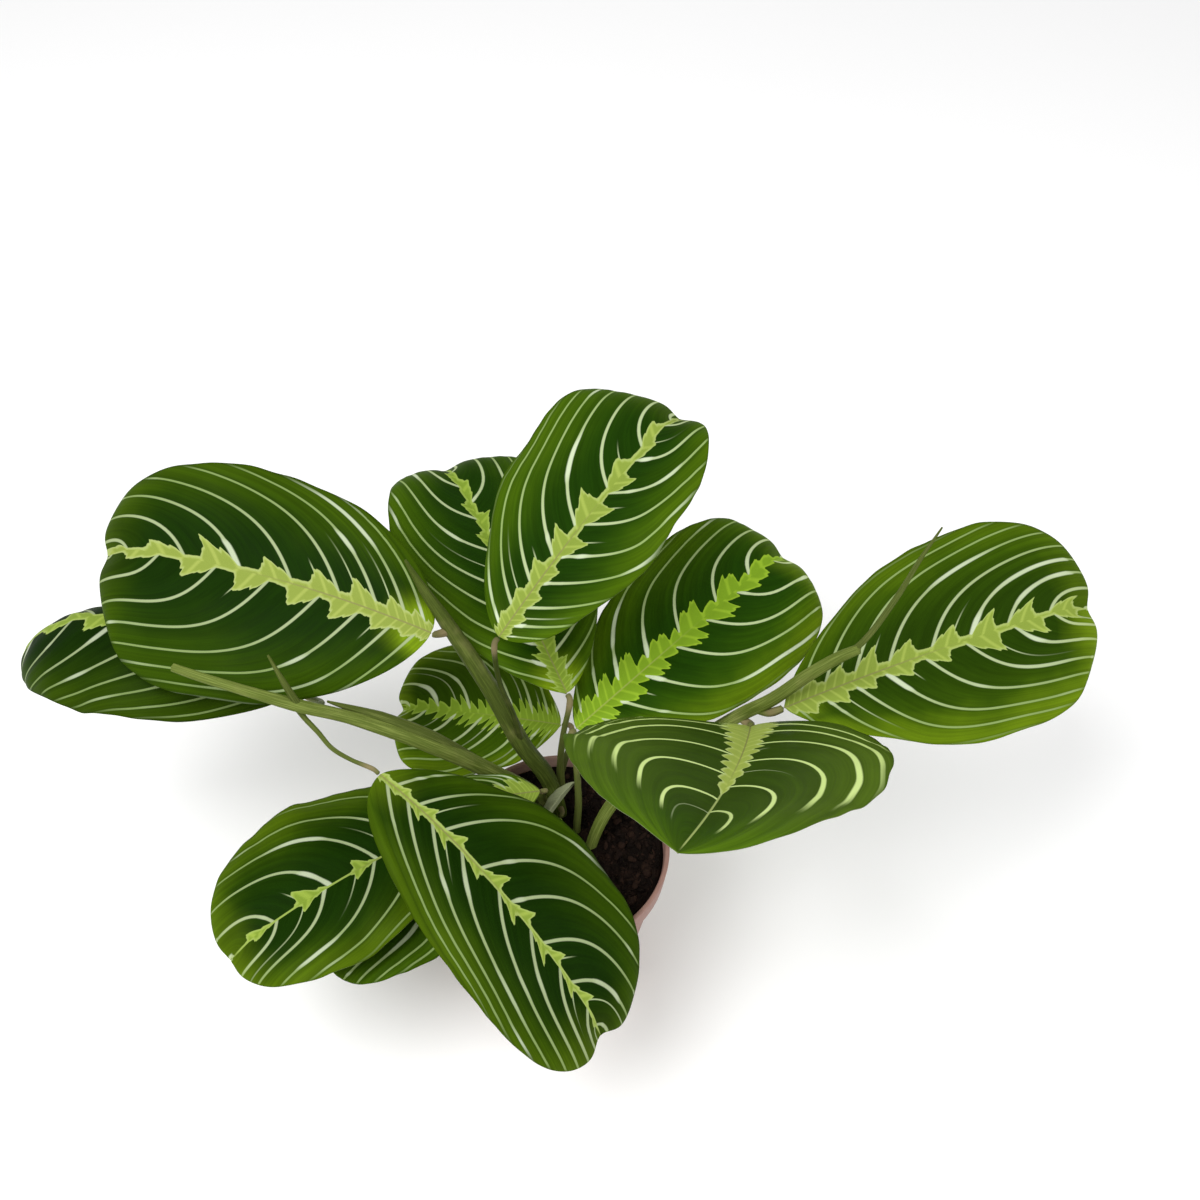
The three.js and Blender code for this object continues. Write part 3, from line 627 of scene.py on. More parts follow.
def curve_points(points, steps):
    """Points and radii of a smooth curve through the given ones, with steps pieces between each two."""
    p = np.array([q[:3] for q in points], float)
    radii = np.array([q[3] for q in points], float)
    p = np.vstack([2 * p[0] - p[1], p, 2 * p[-1] - p[-2]])
    line, thick = [], []
    for i in range(len(points) - 1):
        a, b, c, d = p[i : i + 4]
        gaps = [max(np.linalg.norm(y - x) ** 0.5, 1e-4) for x, y in ((a, b), (b, c), (c, d))]
        t1 = ((b - a) / gaps[0] - (c - a) / (gaps[0] + gaps[1]) + (c - b) / gaps[1]) * gaps[1]
        t2 = ((c - b) / gaps[1] - (d - b) / (gaps[1] + gaps[2]) + (d - c) / gaps[2]) * gaps[1]
        last = i == len(points) - 2
        for t in np.arange(steps + last) / steps:
            line.append(b + t1 * t + (3 * (c - b) - 2 * t1 - t2) * t**2 + (2 * (b - c) + t1 + t2) * t**3)
            thick.append(radii[i] * (1 - t) + radii[i + 1] * t)
    return np.array(line), np.array(thick)


def tube_arrays(points, sides, steps, seed, swell_end):
    """Vertices, faces and lengthwise places of one stem tube with rounded ends, in mm."""
    line, radii = curve_points(points, steps)
    n = len(line)
    tangent = np.gradient(line, axis=0)
    tangent /= np.linalg.norm(tangent, axis=1, keepdims=True)
    run = np.concatenate([[0], np.cumsum(np.linalg.norm(np.diff(line, axis=0), axis=1))])
    left = run[-1] - run
    # A leaf's stalk thickens into a short joint just under the blade.
    joint = smooth_step(0, 1, 1 - np.abs(left - JOINT_MIDDLE) / JOINT_REACH) * (swell_end > 0)
    radii = radii * (1 + swell_end * joint)
    radii = radii * (1 + TUBE_UNEVENNESS * soft_noise(run / 40, seed))
    across = np.array([1.0, 0.0, 0.0])
    verts, places = [], []
    for i in range(n):
        across = across - tangent[i] * np.dot(across, tangent[i])
        across /= np.linalg.norm(across)
        other = np.cross(tangent[i], across)
        for k in range(sides):
            angle = 2 * math.pi * k / sides
            ridge = 1 + 0.025 * math.sin(5 * angle + seed) + 0.015 * math.sin(11 * angle + 2 * seed)
            ring = radii[i] * ridge * (across * math.cos(angle) + other * math.sin(angle))
            verts.append(line[i] + ring)
            places.append((run[i], k / sides, joint[i]))
    verts.append(line[0] - tangent[0] * radii[0] * TIP_CAP)
    places.append((0, 0, 0))
    verts.append(line[-1] + tangent[-1] * radii[-1] * TIP_CAP)
    places.append((run[-1], 0, joint[-1]))
    faces = []
    for k in range(sides):
        after = (k + 1) % sides
        faces.append((n * sides, after, k))
        faces.append((n * sides + 1, (n - 1) * sides + k, (n - 1) * sides + after))
        for i in range(n - 1):
            faces.append((i * sides + k, i * sides + after, (i + 1) * sides + after, (i + 1) * sides + k))
    return verts, faces, places


def make_stem(name, tubes, sizes):
    verts, faces, values = [], [], []
    for index, tube in enumerate(tubes):
        is_stalk = isinstance(tube[-1][0], str)
        points = [*tube[:-1], *stalk_end(*tube[-1])] if is_stalk else tube
        seed = 1 + index + len(name)
        swell_end = JOINT_SWELL if is_stalk else 0.0
        tube_verts, tube_faces, places = tube_arrays(points, sizes.stem_sides, TUBE_STEPS, seed, swell_end)
        faces += [tuple(len(verts) + i for i in face) for face in tube_faces]
        verts += tube_verts
        values += [(*place, index) for place in places]
    mesh = bpy.data.meshes.new(name)
    mesh.from_pydata([Vector(v) * MM for v in verts], [], faces)
    for key, numbers in zip(("run", "around", "joint", "tube"), zip(*values)):
        store(mesh, key, numbers)
    mesh.shade_smooth()
    return mesh


# Pot and soil


def turned_mesh(name, profile, sides):
    """A round closed mesh from (radius, height) pairs that start and end on the axis."""
    mesh = bpy.data.meshes.new(name)
    bm = bmesh.new()
    rings = []
    for radius, height in profile:
        if radius == 0:
            rings.append([bm.verts.new((0, 0, height))])
            continue
        angles = [2 * math.pi * k / sides for k in range(sides)]
        rings.append([bm.verts.new((radius * math.cos(a), radius * math.sin(a), height)) for a in angles])
    for lower, upper in zip(rings, rings[1:]):
        for k in range(sides):
            after = (k + 1) % sides
            if len(lower) == 1:
                bm.faces.new((lower[0], upper[after], upper[k]))
            elif len(upper) == 1:
                bm.faces.new((lower[k], lower[after], upper[0]))
            else:
                bm.faces.new((lower[k], lower[after], upper[after], upper[k]))
    bm.normal_update()
    bm.to_mesh(mesh)
    bm.free()
    return mesh


def pot_profile(sizes):
    """Outline of the pot's wall with rounded edges, from the middle of its underside to that of its floor."""
    height, rim, foot, wall = sizes.pot_height, sizes.rim_radius, sizes.foot_radius, sizes.wall
    band = height - sizes.band_height
    band_radius = rim - BAND_TAPER
    wall_top = band_radius - WALL_INSET
    underside = [(0, 0), (0.012, 0), (0.028, 0)]
    foot_edge = [
        (foot - 0.0013, 0), (foot - 0.0006, 0.0002), (foot - 0.0001, 0.0008), (foot, 0.0014),
    ]
    outside = [(foot + share * (wall_top - foot), share * band) for share in (0.3, 0.7)]
    step = [
        (wall_top - 0.0001, band - 0.0016), (wall_top + 0.0003, band - 0.0006),
        (band_radius - 0.0009, band - 0.0002), (band_radius - 0.0002, band + 0.0001),
        (band_radius, band + 0.0008),
    ]
    lip = [
        (rim - 0.0001, height - 0.0012), (rim - 0.0002, height - 0.0005), (rim - 0.0006, height - 0.0001),
        (rim - 0.001, height), (rim - wall + 0.0002, height - 0.0001), (rim - wall - 0.0002, height - 0.0005),
        (rim - wall - 0.0004, height - 0.0012),
    ]
    inside = [
        (band_radius - wall, band + 0.0015), (wall_top - wall, band - 0.002),
        (foot - wall, POT_FLOOR + 0.0006), (foot - wall - 0.0006, POT_FLOOR), (0, POT_FLOOR),
    ]
    return [*underside, *foot_edge, *outside, *step, *lip, *inside]


def make_pot(sizes):
    mesh = turned_mesh("pot_wall", pot_profile(sizes), POT_SIDES)
    piece = new_object("pot_wall", mesh)
    cutter_mesh = bpy.data.meshes.new("drain")
    bm = bmesh.new()
    for i in range(DRAIN_HOLES):
        angle = 2 * math.pi * (i + 0.5) / DRAIN_HOLES
        made = bmesh.ops.create_cone(
            bm, cap_ends=True, segments=DRAIN_HOLE_SIDES, radius1=DRAIN_HOLE_RADIUS,
            radius2=DRAIN_HOLE_RADIUS, depth=0.01)
        place = (DRAIN_HOLE_CIRCLE * math.cos(angle), DRAIN_HOLE_CIRCLE * math.sin(angle), 0)
        bmesh.ops.translate(bm, verts=made["verts"], vec=place)
    bm.to_mesh(cutter_mesh)
    bm.free()
    cutter = new_object("drain", cutter_mesh)
    cut = piece.modifiers.new("drain holes", "BOOLEAN")
    cut.operation = "DIFFERENCE"
    cut.object = cutter
    apply_modifiers(piece)
    bpy.data.objects.remove(cutter)
    piece.data.shade_smooth()
    mark_sharp(piece.data, SHARP_ANGLE)
    return piece


def apply_modifiers(piece):
    bpy.context.view_layer.update()
    evaluated = piece.evaluated_get(bpy.context.evaluated_depsgraph_get())
    mesh = bpy.data.meshes.new_from_object(evaluated)
    piece.modifiers.clear()
    piece.data = mesh


def mark_sharp(mesh, angle):
    bm = bmesh.new()
    bm.from_mesh(mesh)
    for edge in bm.edges:
        edge.smooth = len(edge.link_faces) == 2 and edge.calc_face_angle() < angle
    bm.to_mesh(mesh)
    bm.free()


def soil_height(x, y, sizes):
    """Height of the soil's top at a place, with lumps of several sizes."""
    lump = 0
    for k in range(1, 6):
        scale = 70 * 1.8**k
        turn = 2 * math.pi * hashed(k, 3)
        a = x * math.cos(turn) + y * math.sin(turn)
        b = y * math.cos(turn) - x * math.sin(turn)
        wave = math.sin(scale * a + 5 * hashed(k, 4))
        lump += wave * math.sin(scale * 1.13 * b + 7 * hashed(k, 5)) / 1.5**k
    return sizes.soil_level + 0.0006 + LUMP_HEIGHT * lump


def make_soil(sizes):
    wall = sizes.wall + SOIL_GAP
    band = sizes.pot_height - sizes.band_height
    band_radius = sizes.rim_radius - BAND_TAPER
    foot = sizes.foot_radius - wall
    top = sizes.rim_radius - SOIL_TOP_INSET
    profile = [
        (0, SOIL_FLOOR), (foot - 0.0006, SOIL_FLOOR), (foot, SOIL_FLOOR + 0.0005),
        (band_radius - WALL_INSET - wall, band - 0.002),
        (band_radius - wall - 0.0001, band + 0.0016), (top, sizes.soil_level - 0.0004),
    ]
    profile += [(top * (1 - k / SOIL_RINGS), sizes.soil_level) for k in range(1, SOIL_RINGS)]
    profile.append((0, sizes.soil_level))
    mesh = turned_mesh("soil_body", profile, SOIL_SIDES)
    for v in mesh.vertices:
        if v.co.z > sizes.soil_level - 0.0001:
            v.co.z = soil_height(v.co.x, v.co.y, sizes)
    mesh.shade_smooth()
    return new_object("soil_body", mesh)


def make_crumbs(sizes):
    """Loose crumbs of soil, bark and fibre, pressed a little into the soil's top."""
    rng = np.random.default_rng(CRUMB_SEED)
    shape = bmesh.new()
    bmesh.ops.create_icosphere(shape, subdivisions=2, radius=1)
    ball = np.array([v.co for v in shape.verts])
    ball_faces = [tuple(v.index for v in f.verts) for f in shape.faces]
    shape.free()
    feet = [np.array(tubes[0][0][:2]) for tubes in STEMS.values()]
    verts, faces, tint = [], [], []
    made = 0
    while made < sizes.crumbs:
        radius = CRUMB_REACH * math.sqrt(rng.random())
        angle = 2 * math.pi * rng.random()
        x, y = radius * math.cos(angle), radius * math.sin(angle)
        size = CRUMB_SIZE + CRUMB_SIZE_RANGE * rng.random() ** 2.2
        if min(np.hypot(*(foot * MM - (x, y))) for foot in feet) < CRUMB_STEM_ROOM + size:
            continue
        stretch = np.array([1, 0.6 + 0.5 * rng.random(), 0.5 + 0.4 * rng.random()]) * size
        if rng.random() < FLAKE_SHARE:
            stretch = stretch * (2.2, 0.8, 0.5)
        lumps = 1 + 0.28 * np.sin(ball @ rng.normal(0, 2.6, 3) + rng.random() * 6)
        turn = rng.random() * 2 * math.pi
        c, s = math.cos(turn), math.sin(turn)
        spun = (ball * lumps[:, None] * stretch) @ np.array([[c, s, 0], [-s, c, 0], [0, 0, 1]])
        height = min(soil_height(x, y, sizes) + 0.25 * stretch[2], sizes.pot_height - 0.002 - size)
        if math.hypot(x, y) + size * 2.4 > sizes.rim_radius - SOIL_TOP_INSET:
            continue
        faces += [tuple(len(verts) + i for i in face) for face in ball_faces]
        verts += [tuple(v) for v in spun + (x, y, height)]
        tint += [rng.random()] * len(ball)
        made += 1
    mesh = bpy.data.meshes.new("soil_crumbs")
    mesh.from_pydata(verts, [], faces)
    store(mesh, "tint", tint)
    mesh.shade_smooth()
    return new_object("soil_crumbs", mesh)


# Materials


class Nodes:
    """Short calls for making a node tree. Each gives back the output of the node that it adds."""

    def __init__(self, name):
        self.material = bpy.data.materials.new(name)
        self.material.use_nodes = True
        self.tree = self.material.node_tree
        self.tree.nodes.clear()
        output = self.tree.nodes.new("ShaderNodeOutputMaterial")
        self.shader = self.tree.nodes.new("ShaderNodeBsdfPrincipled")
        self.tree.links.new(self.shader.outputs[0], output.inputs["Surface"])

    def set(self, node, inputs):
        """Links or sets the inputs of a node."""
        for socket, value in inputs.items():
            if isinstance(value, bpy.types.NodeSocket):
                self.tree.links.new(value, node.inputs[socket])
            else:
                node.inputs[socket].default_value = value

    def add(self, kind, output, inputs, **settings):
        node = self.tree.nodes.new("ShaderNode" + kind)
        for key, value in settings.items():
            setattr(node, key, value)
        self.set(node, inputs)
        return node.outputs[output]

    def read(self, name):
        return self.add("Attribute", "Fac", {}, attribute_name=name)

    def place(self):
        return self.add("TexCoord", "Object", {})

    def math(self, operation, a, b=0.0):
        return self.add("Math", 0, {0: a, 1: b}, operation=operation)

    def plus(self, a, b):
        return self.math("ADD", a, b)

    def minus(self, a, b):
        return self.math("SUBTRACT", a, b)

    def times(self, a, b):
        return self.math("MULTIPLY", a, b)

    def larger(self, a, b):
        return self.math("MAXIMUM", a, b)

    def smaller(self, a, b):
        return self.math("MINIMUM", a, b)

    def is_over(self, a, b):
        return self.math("GREATER_THAN", a, b)

    def size_of(self, a):
        return self.math("ABSOLUTE", a)

    def between(self, share, low, high):
        """The number that lies this share of the way from low to high."""
        return self.add("Mix", 0, {0: share, 2: low, 3: high})

    def random(self, vector):
        """A number from 0 to 1 that is fixed by the place."""
        return self.add("TexWhiteNoise", "Value", {"Vector": vector})

    def ramp(self, value, low, high, out_low=0.0, out_high=1.0):
        """value from low to high, smoothly, as a number from out_low to out_high."""
        places = {"Value": value, "From Min": low, "From Max": high, "To Min": out_low, "To Max": out_high}
        return self.add("MapRange", "Result", places, interpolation_type="SMOOTHSTEP")

    def shape(self, value, stops):
        """A number for value, from straight pieces between (place, number) stops."""
        color = self.add("ValToRGB", "Color", {"Fac": value})
        ramp = color.node.color_ramp
        while len(ramp.elements) < len(stops):
            ramp.elements.new(0.5)
        for element, (place, number) in zip(ramp.elements, stops):
            element.position = place
            element.color = (number, number, number, 1)
        return color

    def mix(self, share, a, b, blend="MIX"):
        a, b = (tone if isinstance(tone, bpy.types.NodeSocket) else (*tone, 1) for tone in (a, b))
        return self.add("Mix", 2, {0: share, 6: a, 7: b}, data_type="RGBA", blend_type=blend)

    def scaled(self, tone, factor, share=1.0):
        """A colour made lighter or darker by a factor, or a share of the way there."""
        return self.mix(share, tone, self.vector(factor, factor, factor), "MULTIPLY")

    def vector(self, x, y, z):
        return self.add("CombineXYZ", 0, {0: x, 1: y, 2: z})

    def noise(self, vector, scale, detail, roughness=0.55):
        inputs = {"Vector": vector, "Scale": scale, "Detail": detail, "Roughness": roughness}
        return self.add("TexNoise", "Fac", inputs)

    def bump(self, height, distance, strength):
        return self.add("Bump", 0, {"Height": height, "Distance": distance, "Strength": strength})

    def finish(self, base, roughness, specular, **others):
        """Sets the surface and gives back the finished material."""
        inputs = {"Base Color": base, "Roughness": roughness, "Specular IOR Level": specular}
        self.set(self.shader, {**inputs, **others})
        return self.material


def leaf_measures(n):
    """What the blades carry, as node outputs, and what follows from it for a place and its nearest vein."""
    m = SimpleNamespace(**{key: n.read(key) for key in BLADE_MEASURES})
    for key in LEAF_LOOKS:
        setattr(m, key, n.read("leaf_" + key))
    # Each hand has veins of its own, at the whole numbers of its phase.
    is_left = n.is_over(m.lateral, 0.0)
    m.across = n.size_of(m.lateral)
    m.phase = n.between(is_left, n.read("phase_right"), n.read("phase_left"))
    cell = n.math("FLOOR", m.phase)
    m.part = n.minus(m.phase, cell)
    m.hand_seed = n.plus(n.math("ROUND", m.seed), n.times(is_left, 0.5))
    draws = [n.random(n.vector(cell, m.hand_seed, k)) for k in (1.0, 2.0, 3.0)]
    m.size_draw, m.streak_draw, m.length_draw = draws
    m.is_looped = n.is_over(m.grey, 0.5)
    m.streaks = n.noise(n.vector(n.times(m.phase, 7.0), n.times(m.across, 0.04), m.hand_seed), 1.0, 4.0, 0.7)
    m.light = n.ramp(m.streaks, 0.3, 0.7, 0.84, 1.16)
    uneven = n.times(n.minus(n.noise(n.place(), 28.0, 3.0), 0.5), 0.5)
    m.out = n.plus(m.edge, uneven)
    # Limier towards the tip: partly the leaf's colour, partly painted glow of light through the blade.
    m.tip = n.times(n.ramp(n.plus(m.along, n.times(uneven, 0.4)), 0.8, 1.04), n.between(m.lime, 0.1, 1.0))
    # A looped vein ends in a hook, a way on from where it left the midrib.
    run = n.math("DIVIDE", n.minus(m.along, m.start), n.minus(1.0, m.start))
    run = n.minus(run, n.times(m.size_draw, 0.08))
    hooked = n.times(n.ramp(run, 0.58, 0.4), n.ramp(m.start, 0.8, 0.72))
    m.ending = n.between(m.is_looped, 1.0, hooked)
    return m


def blade_ground(n, m, colours):
    """Ground colour: dark beside the feather and the veins, yellow-green towards the margin and tip.

    The yellow-green is partly the leaf's colour and partly painted glow of light through the thin blade, and
    some leaves carry painted light and painted sheen.
    """
    centre = n.times(n.times(m.part, n.minus(1.0, m.part)), 4.0)
    rise = n.times(n.ramp(m.out, 0.2, 0.95), n.between(centre, 0.5, 1.0))
    # Partly the leaf's own tone, partly painted light: a dimly lit leaf is made lighter, a well-lit one
    # darker.
    middle = n.scaled(n.mix(rise, colours.blade_dark, colours.blade_mid), m.shade)
    # Yellow-green at margin, tip and base: partly the leaf's colour, partly painted glow of light through it.
    margin = n.times(n.times(n.ramp(m.out, 0.5, 1.15), n.between(centre, 0.6, 1.0)), m.lime)
    base_glow = n.times(n.ramp(m.along, 0.16, 0.0), n.times(n.ramp(m.across, 17.0, 3.0), m.glow))
    lime_and_painted_glow = n.larger(n.larger(margin, m.tip), n.larger(base_glow, m.wash))
    ground = n.mix(lime_and_painted_glow, middle, colours.blade_edge)
    # Painted sheen: a leaf seen at a glancing angle is greyer, less so towards its tip.
    sheen_share = n.times(m.grey, n.ramp(m.along, 0.96, 0.72, 0.4, 1.0))
    ground = n.mix(sheen_share, ground, n.mix(rise, colours.blade_painted_sheen_dark, colours.blade_painted_sheen))
    return n.scaled(ground, m.light)


def main_veins(n, m, colours, surface):
    """Pale lines, thinner and limier towards the margin: where they are, and the surface with them."""
    off = n.times(n.minus(0.5, n.size_of(n.minus(m.part, 0.5))), m.gap)
    width = n.between(m.is_looped, n.ramp(m.edge, 0.1, 0.95, 0.72, 0.44), n.ramp(m.edge, 0.3, 0.9, 0.7, 1.1))
    # Here and there a stretch of a vein is broad and nearly white: painted sheen where a vein catches the
    # light.
    along_vein = n.vector(n.times(n.math("ROUND", m.phase), 5.3), n.times(m.edge, 2.6), m.hand_seed)
    vein_sheen = n.times(n.ramp(n.noise(along_vein, 1.0, 1.0), 0.55, 0.68), n.minus(1.0, m.grey))
    width = n.times(width, n.between(vein_sheen, 1.0, 1.7))
    width = n.smaller(width, n.times(m.gap, 0.13))
    is_vein = n.ramp(off, n.times(width, 1.3), n.times(width, 0.6))
    fade = n.times(n.ramp(m.edge, 1.0, 0.9, 0.2, 1.0), n.ramp(m.phase, 0.45, 0.55))
    fade = n.times(fade, m.ending)
    pale = n.mix(n.ramp(m.edge, 0.25, 0.85), colours.vein, colours.vein_outer)
    pale = n.mix(n.times(vein_sheen, 0.8), pale, colours.vein_painted_sheen)
    pale = n.mix(n.larger(m.grey, n.times(m.tip, 0.6)), pale, colours.vein_lime)
    # The veins follow the leaf's tone and painted light a share of the way.
    pale = n.scaled(pale, m.shade, 0.6)
    return is_vein, n.mix(n.times(is_vein, fade), surface, pale)


def feather_reach(n, m):
    """How far the feather comes out from the midrib, in mm.

    From each vein it widens forwards into a toothed lobe, then falls back to a band.
    """
    single = n.shape(m.part, [
        (0, 0.0), (0.07, 0.42), (0.14, 0.6), (0.19, 0.54), (0.28, 0.86), (0.37, 1.0),
        (0.43, 0.9), (0.47, 0.6), (0.53, 0.5), (0.58, 0.26), (0.66, 0.05), (1, 0.0),
    ])
    single = n.math("POWER", single, n.plus(1.0, m.slim))
    single = n.times(single, n.ramp(m.size_draw, 0.0, 1.0, 0.62, 1.15))
    m.tooth_part = n.math("FRACT", n.times(m.phase, 3.0))
    teeth = n.shape(m.tooth_part, [(0, 0.1), (0.2, 0.5), (0.62, 1.0), (0.75, 0.75), (0.86, 0.2), (1, 0.1)])
    ragged = n.noise(n.vector(n.times(m.phase, 6.0), n.times(m.across, 0.1), m.hand_seed), 1.0, 2.0)
    forward = n.between(m.comb, single, n.times(teeth, n.between(single, 0.6, 1.0)))
    lobe = n.times(n.times(m.lobe, forward), n.ramp(ragged, 0.25, 0.75, 0.8, 1.2))
    return n.plus(n.times(m.band, n.ramp(ragged, 0.25, 0.75, 1.15, 0.85)), lobe)


def lime_feather(n, m, colours, surface):
    """The feather along the midrib, with paler edges and darker veinlets, and a thin lime line to the tip."""
    m.reach = feather_reach(n, m)
    inside = n.minus(m.reach, m.across)
    m.is_feather = n.times(n.ramp(inside, -0.22, 0.18), n.ramp(m.edge, 0.96, 0.8))
    veinlet = n.ramp(n.size_of(n.minus(m.tooth_part, 0.5)), 0.3, 0.48)
    depth = n.times(n.ramp(inside, 0.4, 1.8), n.between(veinlet, n.between(m.comb, 0.75, 0.55), 0.0))
    feather = n.mix(m.bright, colours.feather, colours.feather_bright)
    rim = n.times(n.ramp(inside, 1.5, 0.3, 0.0, 0.3), n.minus(1.0, m.bright))
    feather = n.mix(rim, feather, colours.vein)
    feather_dark = n.mix(m.bright, colours.feather_dark, colours.feather_bright_dark)
    is_line = n.times(n.ramp(m.across, 0.62, 0.32), n.ramp(m.along, 1.0, 0.94))
    surface = n.mix(n.times(is_line, 0.85), surface, feather)
    # Painted light: the feather of a dimly lit leaf is made lighter.
    lift = n.math("POWER", n.larger(m.shade, 1.0), 0.6)
    return n.mix(m.is_feather, surface, n.scaled(n.mix(depth, feather, feather_dark), lift))


def pale_streaks(n, m, colours, surface):
    """A thin pale streak that runs on from the point of some lobes."""
    beyond = n.minus(m.across, m.reach)
    off = n.times(n.size_of(n.minus(m.part, 0.44)), m.gap)
    streak_length = n.ramp(m.length_draw, 0.3, 1.0, 5.0, 24.0)
    is_streak = n.times(n.ramp(off, 0.42, 0.16), n.ramp(beyond, streak_length, 0.0))
    is_streak = n.times(is_streak, n.is_over(m.streak_draw, 0.6))
    is_streak = n.times(is_streak, n.times(n.is_over(m.phase, 2.0), m.ending))
    return n.mix(n.times(is_streak, n.minus(0.85, m.is_feather)), surface, colours.vein)


def leaf_material(colours):
    n = Nodes("leaf_green")
    m = leaf_measures(n)
    surface = blade_ground(n, m, colours)
    is_vein, surface = main_veins(n, m, colours, surface)
    surface = lime_feather(n, m, colours, surface)
    surface = pale_streaks(n, m, colours, surface)
    # The midrib is a thin line on the base half, tan, or lime on a greener leaf.
    is_midrib = n.times(n.ramp(m.across, 0.5, 0.2), n.ramp(m.along, 0.6, 0.25, 0.0, 0.75))
    surface = n.mix(is_midrib, surface, n.mix(n.ramp(m.bright, 0.5, 0.9), colours.midrib, colours.feather))
    # The underside is pale, with the veins a little paler still.
    below_vein = n.times(n.larger(is_vein, n.ramp(m.across, 0.9, 0.5)), n.between(m.plain, 0.35, 0.0))
    below = n.scaled(n.mix(below_vein, colours.underside, colours.underside_vein), m.light)
    raised = n.plus(n.times(is_vein, -0.5), n.times(m.streaks, 0.8))
    roughness = n.ramp(m.streaks, 0.2, 0.8, 0.42, 0.55)
    return n.finish(n.mix(m.under, surface, below), roughness, 0.015, Normal=n.bump(raised, 0.00022, 0.7))


def stem_material(name, base, pale, colours):
    n = Nodes(name)
    turn = n.times(n.read("around"), 2 * math.pi)
    wrap, wrap_across = n.math("SINE", turn), n.math("COSINE", turn)
    streak_place = n.vector(n.times(wrap, 4.0), n.times(wrap_across, 4.0), n.times(n.read("run"), 0.04))
    streaks = n.noise(streak_place, 1.8, 4.0)
    patches = n.noise(n.place(), 60.0, 3.0)
    surface = n.mix(n.ramp(streaks, 0.4, 0.72), base, pale)
    surface = n.mix(n.ramp(patches, 0.52, 0.78, 0.0, 0.35), surface, colours.midrib)
    # The stem and the sheaths round it differ a little in tone.
    tone = n.ramp(n.random(n.vector(n.math("ROUND", n.read("tube")), 3.0, 1.0)), 0.0, 1.0, 0.75, 1.25)
    surface = n.scaled(surface, tone)
    surface = n.mix(n.times(n.read("joint"), 0.7), surface, colours.joint)
    return n.finish(surface, 0.5, 0.05, Normal=n.bump(streaks, 0.0003, 0.6))


def pot_material(colours):
    n = Nodes("pot_clay")
    place = n.place()
    dust = n.noise(place, 34.0, 5.0, 0.65)
    grain = n.noise(place, 420.0, 3.0)
    surface = n.mix(n.ramp(dust, 0.42, 0.7), colours.pot, colours.pot_dust)
    surface = n.mix(n.ramp(grain, 0.5, 0.8, 0.0, 0.25), surface, colours.pot_dust)
    return n.finish(surface, n.ramp(dust, 0.3, 0.7, 0.5, 0.68), 0.3, Normal=n.bump(grain, 0.0001, 0.6))


def soil_material(name, colours, has_tint):
    n = Nodes(name)
    place = n.place()
    grains = n.noise(place, 900.0, 4.0)
    clods = n.noise(place, 160.0, 3.0)
    surface = n.mix(n.ramp(clods, 0.45, 0.75, 0.0, 0.5), colours.soil, colours.soil_dry)
    if has_tint:
        surface = n.mix(n.ramp(n.read("tint"), 0.55, 1.0, 0.0, 0.8), surface, colours.soil_dry)
    surface = n.mix(n.ramp(grains, 0.62, 0.75, 0.0, 0.4), surface, colours.soil_dry)
    return n.finish(surface, 0.85, 0.08, Normal=n.bump(n.plus(grains, clods), 0.0006, 0.9))


def floor_material(colours):
    n = Nodes("floor")
    cloud = n.noise(n.place(), 3.0, 2.0)
    return n.finish(n.mix(n.ramp(cloud, 0.3, 0.7, 0.0, 0.04), colours.floor, (1, 1, 1)), 0.7, 0.2)


# Operators


class PLANT_OT_leaves(bpy.types.Operator):
    """Make every leaf blade, with its veins and lime feather"""

    bl_idname = "plant.leaves"
    bl_label = "Leaves"

    def execute(self, context):
        scene = context.scene
        material = leaf_material(scene.plant_colours)
        for name in LEAVES:
            piece = new_object("blade_" + name.removeprefix("leaf_"), make_blade(name, scene.plant_sizes))
            finish_piece(piece, name, material)
        return {"FINISHED"}


class PLANT_OT_stems(bpy.types.Operator):
    """Make the shoots and leaf stalks"""

    bl_idname = "plant.stems"
    bl_label = "Shoots and stalks"

    def execute(self, context):
        scene = context.scene
        colours = scene.plant_colours
        shoot = stem_material("shoot_olive", colours.shoot, colours.shoot_pale, colours)
        upright = stem_material("shoot_deep", colours.shoot_deep, colours.shoot, colours)
        stalk = stem_material("stalk_olive", colours.stalk, colours.shoot, colours)
        materials = {"shoot_back": upright, "shoot_left": shoot, "shoot_right": shoot}
        for name, tubes in STEMS.items():
            piece = new_object(name + "_fine", make_stem(name, tubes, scene.plant_sizes))
            finish_piece(piece, name, materials.get(name, stalk))
        return {"FINISHED"}


class PLANT_OT_pot(bpy.types.Operator):
    """Make the pot with its rim band and drain holes"""

    bl_idname = "plant.pot"
    bl_label = "Pot"

    def execute(self, context):
        piece = make_pot(context.scene.plant_sizes)
        finish_piece(piece, "pot", pot_material(context.scene.plant_colours))
        return {"FINISHED"}


class PLANT_OT_soil(bpy.types.Operator):
    """Make the soil and the loose crumbs on it"""

    bl_idname = "plant.soil"
    bl_label = "Soil"

    def execute(self, context):
        scene = context.scene
        piece = make_soil(scene.plant_sizes)
        finish_piece(piece, "soil", soil_material("soil_damp", scene.plant_colours, False))
        crumbs = make_crumbs(scene.plant_sizes)
        finish_piece(crumbs, None, soil_material("soil_crumbs", scene.plant_colours, True))
        return {"FINISHED"}


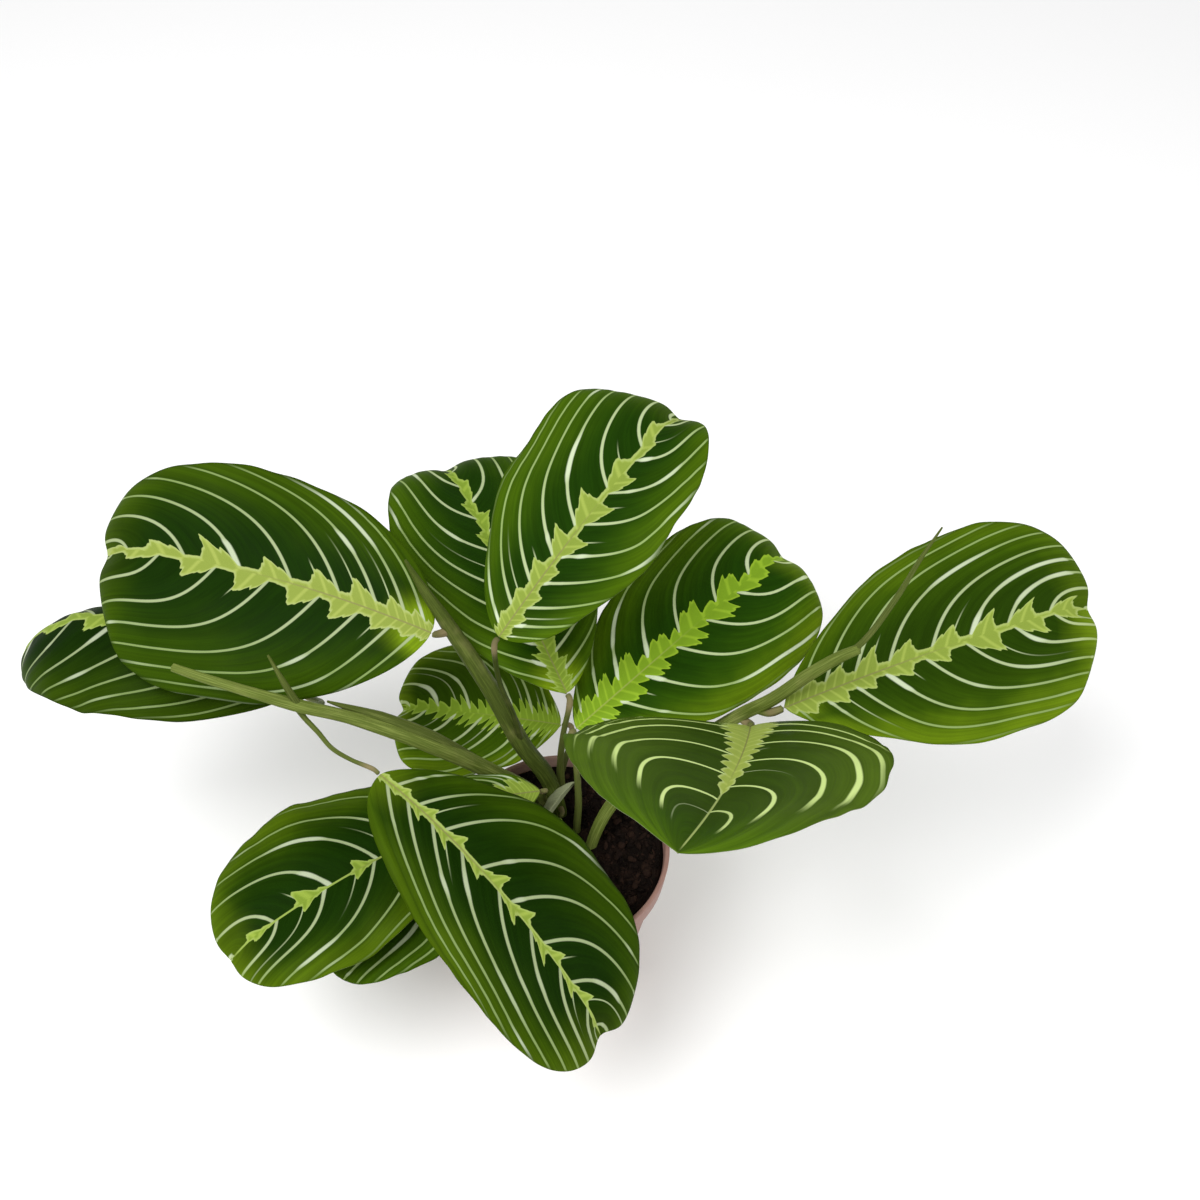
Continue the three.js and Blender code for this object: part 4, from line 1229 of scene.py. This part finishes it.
class PLANT_OT_stage(bpy.types.Operator):
    """Make the floor, the lights and the camera"""

    bl_idname = "plant.stage"
    bl_label = "Stage"

    def execute(self, context):
        scene = context.scene
        stage = scene.plant_stage
        mesh = bpy.data.meshes.new("floor")
        corners = [(x * FLOOR_HALF, y * FLOOR_HALF, 0) for x, y in ((-1, -1), (1, -1), (1, 1), (-1, 1))]
        mesh.from_pydata(corners, [], [(0, 1, 2, 3)])
        floor = new_object("floor", mesh)
        floor.data.materials.append(floor_material(scene.plant_colours))
        world = bpy.data.worlds.new("studio")
        world.use_nodes = True
        sky = world.node_tree.nodes["Background"]
        sky.inputs["Color"].default_value = (1, 1, 1, 1)
        sky.inputs["Strength"].default_value = stage.sky
        scene.world = world
        self.add_light("key", KEY_PLACE, stage.key_power)
        self.add_light("fill", FILL_PLACE, stage.fill_power)
        camera = bpy.data.objects.new("camera", bpy.data.cameras.new("camera"))
        camera.data.lens = stage.lens
        camera.data.sensor_width = SENSOR_WIDTH
        camera.data.clip_start = 0.01
        camera.location = (stage.camera_x, stage.camera_y, stage.camera_z)
        camera.rotation_euler = (math.pi / 2 - stage.pitch, 0, 0)
        scene.collection.objects.link(camera)
        scene.camera = camera
        scene.view_settings.view_transform = "Standard"
        return {"FINISHED"}

    @staticmethod
    def add_light(name, place, power):
        lamp = bpy.data.lights.new(name, "AREA")
        lamp.shape = "DISK"
        lamp.size = LAMP_SIZE
        lamp.energy = power
        light = bpy.data.objects.new(name, lamp)
        light.location = place
        aim = Vector(LAMP_AIM) - light.location
        light.rotation_euler = aim.to_track_quat("-Z", "Y").to_euler()
        bpy.context.scene.collection.objects.link(light)


class PLANT_PT_panel(bpy.types.Panel):
    """The plant's settings and the buttons that make it"""

    bl_idname = "PLANT_PT_panel"
    bl_label = "Prayer plant"
    bl_space_type = "VIEW_3D"
    bl_region_type = "UI"
    bl_category = "Prayer plant"

    def draw(self, context):
        for group in (context.scene.plant_sizes, context.scene.plant_colours, context.scene.plant_stage):
            box = self.layout.box()
            for key in group.__annotations__:
                box.prop(group, key)
        for operator in OPERATORS:
            self.layout.operator(operator.bl_idname)


GROUPS = {"plant_sizes": PlantSizes, "plant_colours": PlantColours, "plant_stage": PlantStage}
OPERATORS = (PLANT_OT_leaves, PLANT_OT_stems, PLANT_OT_pot, PLANT_OT_soil, PLANT_OT_stage)


def register():
    for made in (*GROUPS.values(), *OPERATORS, PLANT_PT_panel):
        bpy.utils.register_class(made)
    for name, group in GROUPS.items():
        setattr(bpy.types.Scene, name, PointerProperty(type=group))


def unregister():
    for name in GROUPS:
        delattr(bpy.types.Scene, name)
    for made in reversed((*GROUPS.values(), *OPERATORS, PLANT_PT_panel)):
        bpy.utils.unregister_class(made)


def main():
    register()
    bpy.ops.plant.leaves()
    bpy.ops.plant.stems()
    bpy.ops.plant.pot()
    bpy.ops.plant.soil()
    bpy.ops.plant.stage()


if __name__ == "__main__":
    main()
